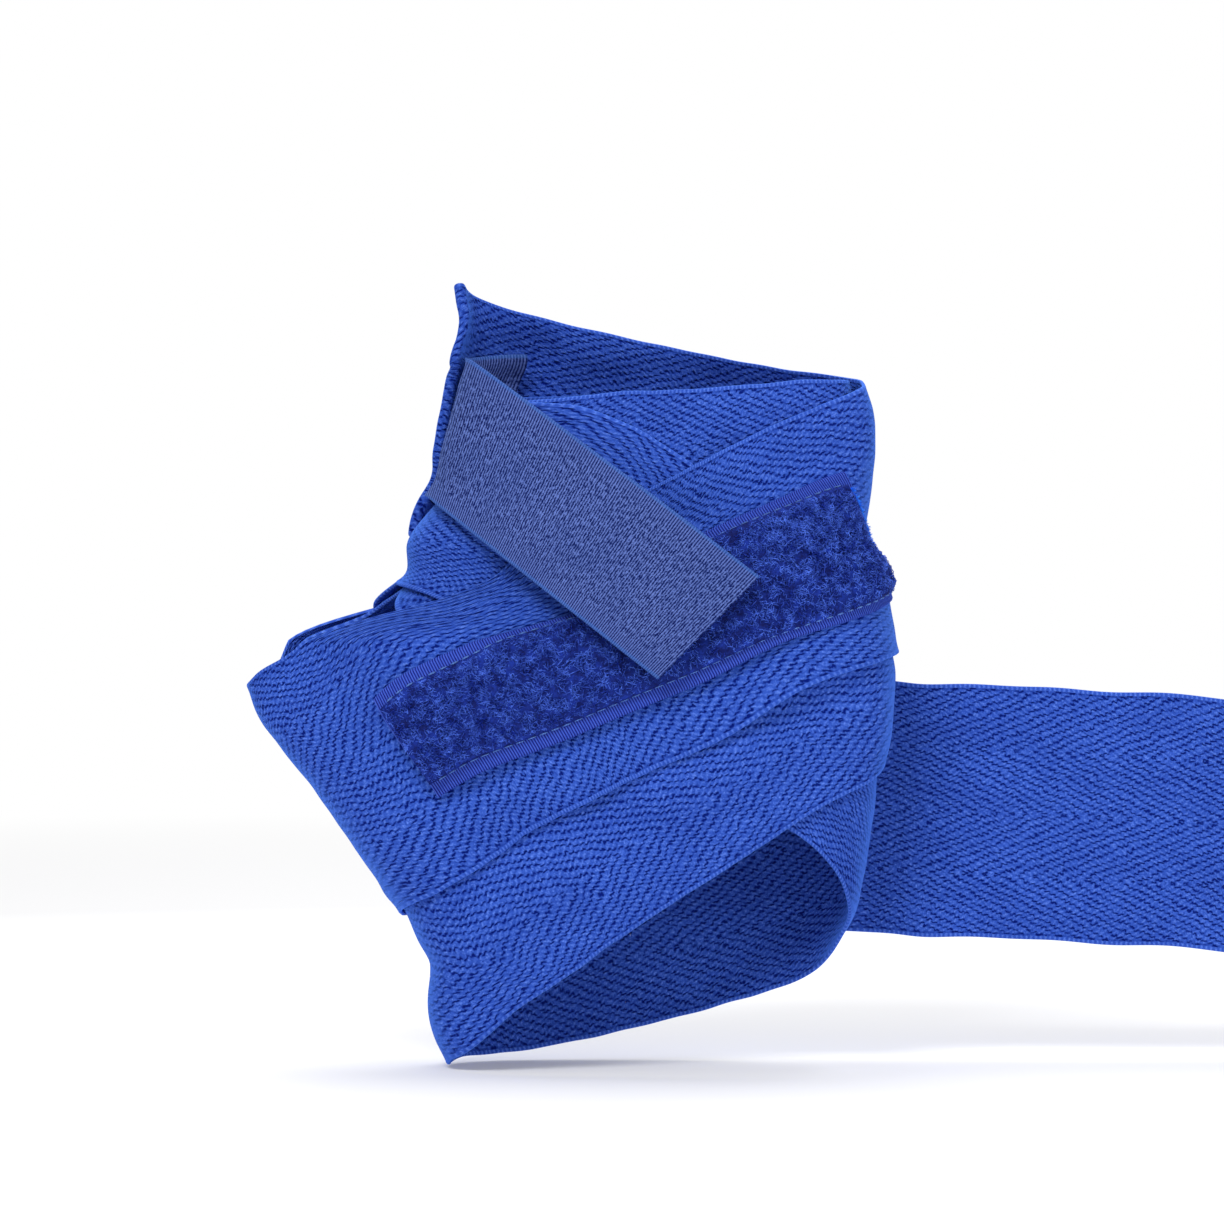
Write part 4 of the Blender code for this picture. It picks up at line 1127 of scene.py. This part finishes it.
def webbing_material(name, dark, medium, light, painted_sheen):
    """Herringbone cotton: four zones of slanting cords of knots with pits between them, and a thin woven
    edge. Its colour follows the weave's height: the pits and grooves are painted darker as shade, and the
    knots' crowns lighter as painted highlight."""
    graph = Graph(name)
    u, v = graph.cloth()
    cloth = graph.vector(u, v)
    zone, slant, cord_pitch, knot_pitch = 12.5, math.radians(25), 1.45, 1.12
    fold = graph.math("PINGPONG", graph.add(v, 2 * zone), zone)
    waver = graph.times(graph.centred(graph.noise(cloth, 0.3, 2.0)), 1.3)
    tremor = graph.times(graph.centred(graph.noise(cloth, 1.1, 2.0)), 0.5)
    line = graph.add(
        graph.times(fold, math.cos(slant) / cord_pitch), graph.times(u, -math.sin(slant) / cord_pitch),
        waver, tremor,
    )
    across_cord = graph.math("FRACT", line)
    knot = graph.add(
        graph.times(fold, math.sin(slant) / knot_pitch), graph.times(u, math.cos(slant) / knot_pitch),
        graph.times(line, 0.15), graph.times(across_cord, 0.75),
        graph.times(graph.centred(graph.noise(cloth, 0.8, 2.0)), 0.9),
    )
    from_cord = graph.from_middle(across_cord)
    from_knot = graph.from_middle(graph.math("FRACT", knot))
    chance = graph.chance(graph.math("ROUND", line), graph.math("ROUND", knot))
    groove = graph.ramp(from_cord, 0.5, 1.0)
    pit = graph.times(graph.ramp(from_cord, 0.34, 0.8), graph.ramp(from_knot, 0.25, 0.8))
    depth = graph.ramp(chance, 0.0, 1.0, 0.45, 1.15)
    fibre = graph.centred(graph.noise(cloth, 2.6, 2.0, 0.75))
    loose = graph.centred(graph.noise(cloth, 1.0, 2.0))
    height = graph.add(
        0.95, graph.times(groove, -0.22), graph.times(pit, depth, -0.75), graph.times(from_knot, -0.24),
        graph.times(fibre, 1.1), graph.times(loose, 0.5),
    )

    from_edge = graph.math("SUBTRACT", 25.0, graph.math("ABSOLUTE", v))
    selvedge = graph.ramp(from_edge, 0.3, 0.5, 1.0, 0.0)
    # a thin groove inside the selvedge, also painted darker as a shadow line
    shadow_groove = graph.times(graph.ramp(from_edge, 0.3, 0.55), graph.ramp(from_edge, 0.6, 0.95, 1.0, 0.0))
    ribs = graph.math("SINE", graph.times(u, 2 * math.pi / 0.95))
    edge_height = graph.add(0.85, graph.times(ribs, 0.16), graph.times(fibre, 0.8))
    height = graph.add(
        graph.times(height, graph.math("SUBTRACT", 1.0, selvedge)), graph.times(edge_height, selvedge),
        graph.times(shadow_groove, -0.3),
    )
    broad = graph.noise(graph.vector(graph.times(u, 0.05), graph.times(v, 0.11)), 1.0, 2.0)
    # colour follows the weave's height: painted shade in the pits and grooves; fibre tone is the cloth's
    # own
    shade = graph.ramp(height, 0.0, 0.95)
    colour = graph.mix(shade, dark, medium)
    # lighter on the knots' crowns: painted highlight
    colour = graph.mix(graph.ramp(height, 0.75, 1.4), colour, light)
    colour = graph.mix(graph.ramp(broad, 0.35, 0.7, 0.0, 0.16), colour, dark)
    # painted sheen: the cloth is lighter where it is seen along itself
    colour = graph.mix(graph.painted_sheen_mask(0.28, 0.62), colour, painted_sheen)
    return graph.finish(colour, 0.9, 0.06, height, 0.26 * MM)


def hook_tape_material(name, dark, light):
    """Smooth woven nylon: fine ribs square to the edges, broken up everywhere but along them."""
    graph = Graph(name)
    u, v = graph.cloth()
    from_edge = graph.math("SUBTRACT", TAPE_HALF_WIDTH / MM, graph.math("ABSOLUTE", v))
    edge = graph.ramp(from_edge, 1.6, 3.6, 1.0, 0.0)
    wobble = graph.noise(graph.vector(graph.times(u, 0.8), graph.times(v, 1.1)), 1.0)
    wobble = graph.times(graph.centred(wobble), 4.0)
    centre = graph.math("SUBTRACT", 1.0, edge)
    rib = graph.math("SINE", graph.add(graph.times(u, 2 * math.pi / 0.5), graph.times(wobble, centre)))
    broken = graph.centred(graph.noise(graph.vector(graph.times(u, 1.9), v), 1.0, 2.0, 0.8))
    speck = graph.centred(graph.noise(graph.vector(u, v), 3.2, 1.0))
    breaks = graph.times(broken, graph.ramp(edge, 0, 1, 4.6, 1.0))
    height = graph.add(graph.times(rib, 0.6), breaks, graph.times(speck, 1.4))
    shade = graph.ramp(height, -0.75, 0.95)
    colour = graph.mix(shade, dark, light)
    rim = graph.ramp(from_edge, 0.15, 0.45, 1.0, 0.0)
    colour = graph.mix(graph.times(rim, 0.5), colour, (0.040, 0.130, 0.46))
    broad = graph.noise(graph.vector(u, v), 0.09, 2.0)
    colour = graph.mix(graph.ramp(broad, 0.3, 0.7, 0.0, 0.15), colour, (0.012, 0.034, 0.18))
    # painted sheen: the tape is lighter where it is seen along itself
    colour = graph.mix(graph.painted_sheen_mask(0.4, 0.8, 0.3), colour, (0.080, 0.160, 0.50))
    return graph.finish(colour, 0.7, 0.05, height, 0.07 * MM)


def loop_tape_material(name, dark, light):
    """The selvedges' fine ribs. The pile hides the rest."""
    graph = Graph(name)
    u, v = graph.cloth()
    rib = graph.math("SINE", graph.times(u, 2 * math.pi / (RIB_PITCH / MM)))
    fleck = graph.noise(graph.vector(graph.times(u, 2.0), v), 1.2, 2.0)
    colour = graph.mix(graph.ramp(rib, -0.6, 0.8), dark, light)
    colour = graph.mix(graph.ramp(fleck, 0.3, 0.75, 0.0, 0.4), colour, (0.014, 0.045, 0.38))
    return graph.finish(colour, 0.7, 0.1, graph.times(rib, 0.5), 0.08 * MM)


def pile_material(name, dark, light):
    graph = Graph(name)
    place = graph.place()
    broad = graph.noise(place, 420.0, 3.0, 0.6)
    fine = graph.noise(place, 2600.0, 3.0, 0.7)
    mixed = graph.add(graph.times(broad, 0.75), graph.times(fine, 0.5))
    colour = graph.mix(graph.ramp(mixed, 0.45, 0.85), dark, light)
    return graph.finish(colour, 0.6, 0.1, fine, 0.2 * MM)


def thread_material(name, dark, light):
    """Twisted thread: two plies wind round it."""
    graph = Graph(name)
    u, v = graph.cloth()
    ply = graph.math("SINE", graph.add(graph.times(u, 2 * math.pi / 0.5), graph.times(v, 12.0)))
    fleck = graph.noise(graph.place(), 1500.0, 2.0)
    shade = graph.add(graph.times(graph.ramp(ply, -1, 1), 0.6), graph.times(fleck, 0.4))
    return graph.finish(graph.mix(shade, dark, light), 0.5, 0.4, ply, 0.04 * MM, 0.25)


def thumb_tape_material(name, dark, light):
    """Plain woven tape: fine ribs across it and along it."""
    graph = Graph(name)
    u, v = graph.cloth()
    rib = graph.math("SINE", graph.times(u, 2 * math.pi / 1.1))
    warp = graph.math("SINE", graph.times(v, 2 * math.pi / 0.8))
    fibre = graph.noise(graph.vector(graph.times(u, 6.0), graph.times(v, 3.0)), 1.0, 3.0)
    height = graph.add(graph.times(rib, 0.3), graph.times(warp, 0.25), graph.times(fibre, 0.4), 0.3)
    shade = graph.ramp(height, 0.0, 1.0)
    colour = graph.mix(shade, dark, light)
    return graph.finish(colour, 0.8, 0.25, height, 0.15 * MM, 0.35)


MATERIAL_MAKERS = {
    "webbing": webbing_material,
    "hook_tape": hook_tape_material,
    "hooks": thread_material,
    "loop_tape": loop_tape_material,
    "loop_pile": pile_material,
    "pile_fibre": pile_material,
    "fringe": pile_material,
    "thread": thread_material,
    "thumb_tape": thumb_tape_material,
}
made_materials = {}


def material(slot):
    if slot not in made_materials:
        made_materials[slot] = MATERIAL_MAKERS[slot](slot + "_cloth", *COLOURS[slot])
    return made_materials[slot]


# ---------------------------------------------------------------------------------------------------
# Floor, light and camera


def pale_floor():
    """A wide pale floor. Away from the object it takes the background's own brightness, so that no
    horizon shows."""
    ground = cad_box[0].z - 0.5 * MM
    turns = np.linspace(0, 2 * math.pi, 96, endpoint=False)
    points = [(FLOOR_RADIUS * math.cos(turn), FLOOR_RADIUS * math.sin(turn), ground) for turn in turns]
    mesh = bpy.data.meshes.new("pale_floor")
    mesh.from_pydata(points, [], [list(range(len(points)))])
    graph = Graph("pale_paper")
    distance = graph.tree.nodes.new("ShaderNodeVectorMath")
    distance.operation = "LENGTH"
    graph.put(distance.inputs[0], graph.place())
    far = graph.ramp(distance.outputs["Value"], *FLOOR_FADE)
    seen = graph.tree.nodes.new("ShaderNodeLightPath").outputs["Is Camera Ray"]
    glow = graph.ramp(seen, 0, 1, WORLD_STRENGTH, WORLD_SEEN)
    graph.finish(graph.mix(far, FLOOR_COLOUR, (0.0, 0.0, 0.0)), 0.9, 0.0)
    graph.put(graph.shader.inputs["Emission Color"], (1, 1, 1, 1))
    brightness = graph.math("MAXIMUM", graph.times(far, glow), FLOOR_GLOW)
    graph.put(graph.shader.inputs["Emission Strength"], brightness)
    mesh.materials.append(graph.material)
    floor = bpy.data.objects.new("pale_floor", mesh)
    bpy.context.scene.collection.objects.link(floor)


def area_light(name, place, size, power):
    data = bpy.data.lights.new(name, "AREA")
    data.size = size
    data.energy = power
    light = bpy.data.objects.new(name, data)
    light.location = place
    light.rotation_euler = (Vector(LAMP_TARGET) - Vector(place)).to_track_quat("-Z", "Y").to_euler()
    bpy.context.scene.collection.objects.link(light)


def studio():
    for lamp in LAMPS:
        area_light(*lamp)
    world = bpy.data.worlds.new("studio")
    world.use_nodes = True
    tree = world.node_tree
    background = tree.nodes["Background"]
    background.inputs["Color"].default_value = (1, 1, 1, 1)
    strength = tree.nodes.new("ShaderNodeMapRange")
    strength.inputs["To Min"].default_value = WORLD_STRENGTH
    strength.inputs["To Max"].default_value = WORLD_SEEN
    tree.links.new(tree.nodes.new("ShaderNodeLightPath").outputs["Is Camera Ray"], strength.inputs["Value"])
    tree.links.new(strength.outputs["Result"], background.inputs["Strength"])
    bpy.context.scene.world = world
    bpy.context.scene.view_settings.view_transform = "Standard"


def camera():
    data = bpy.data.cameras.new("camera")
    data.lens = CAMERA_LENS_MM
    data.sensor_width = 36
    view = bpy.data.objects.new("camera", data)
    view.location = CAMERA_PLACE
    view.rotation_euler = (math.pi / 2, 0, 0)
    bpy.context.scene.collection.objects.link(view)
    bpy.context.scene.camera = view


def build():
    maps = stack_layers()
    lengths = strip_lengths()
    wound_webbing(maps, lengths)
    end_hem(maps, lengths)
    loop_tape(maps)
    loop_pile(maps)
    patch_stitching(maps)
    hook_tape(maps)
    back_seams(maps, lengths)
    tail()
    thumb_loop()
    pale_floor()
    studio()
    camera()


build()
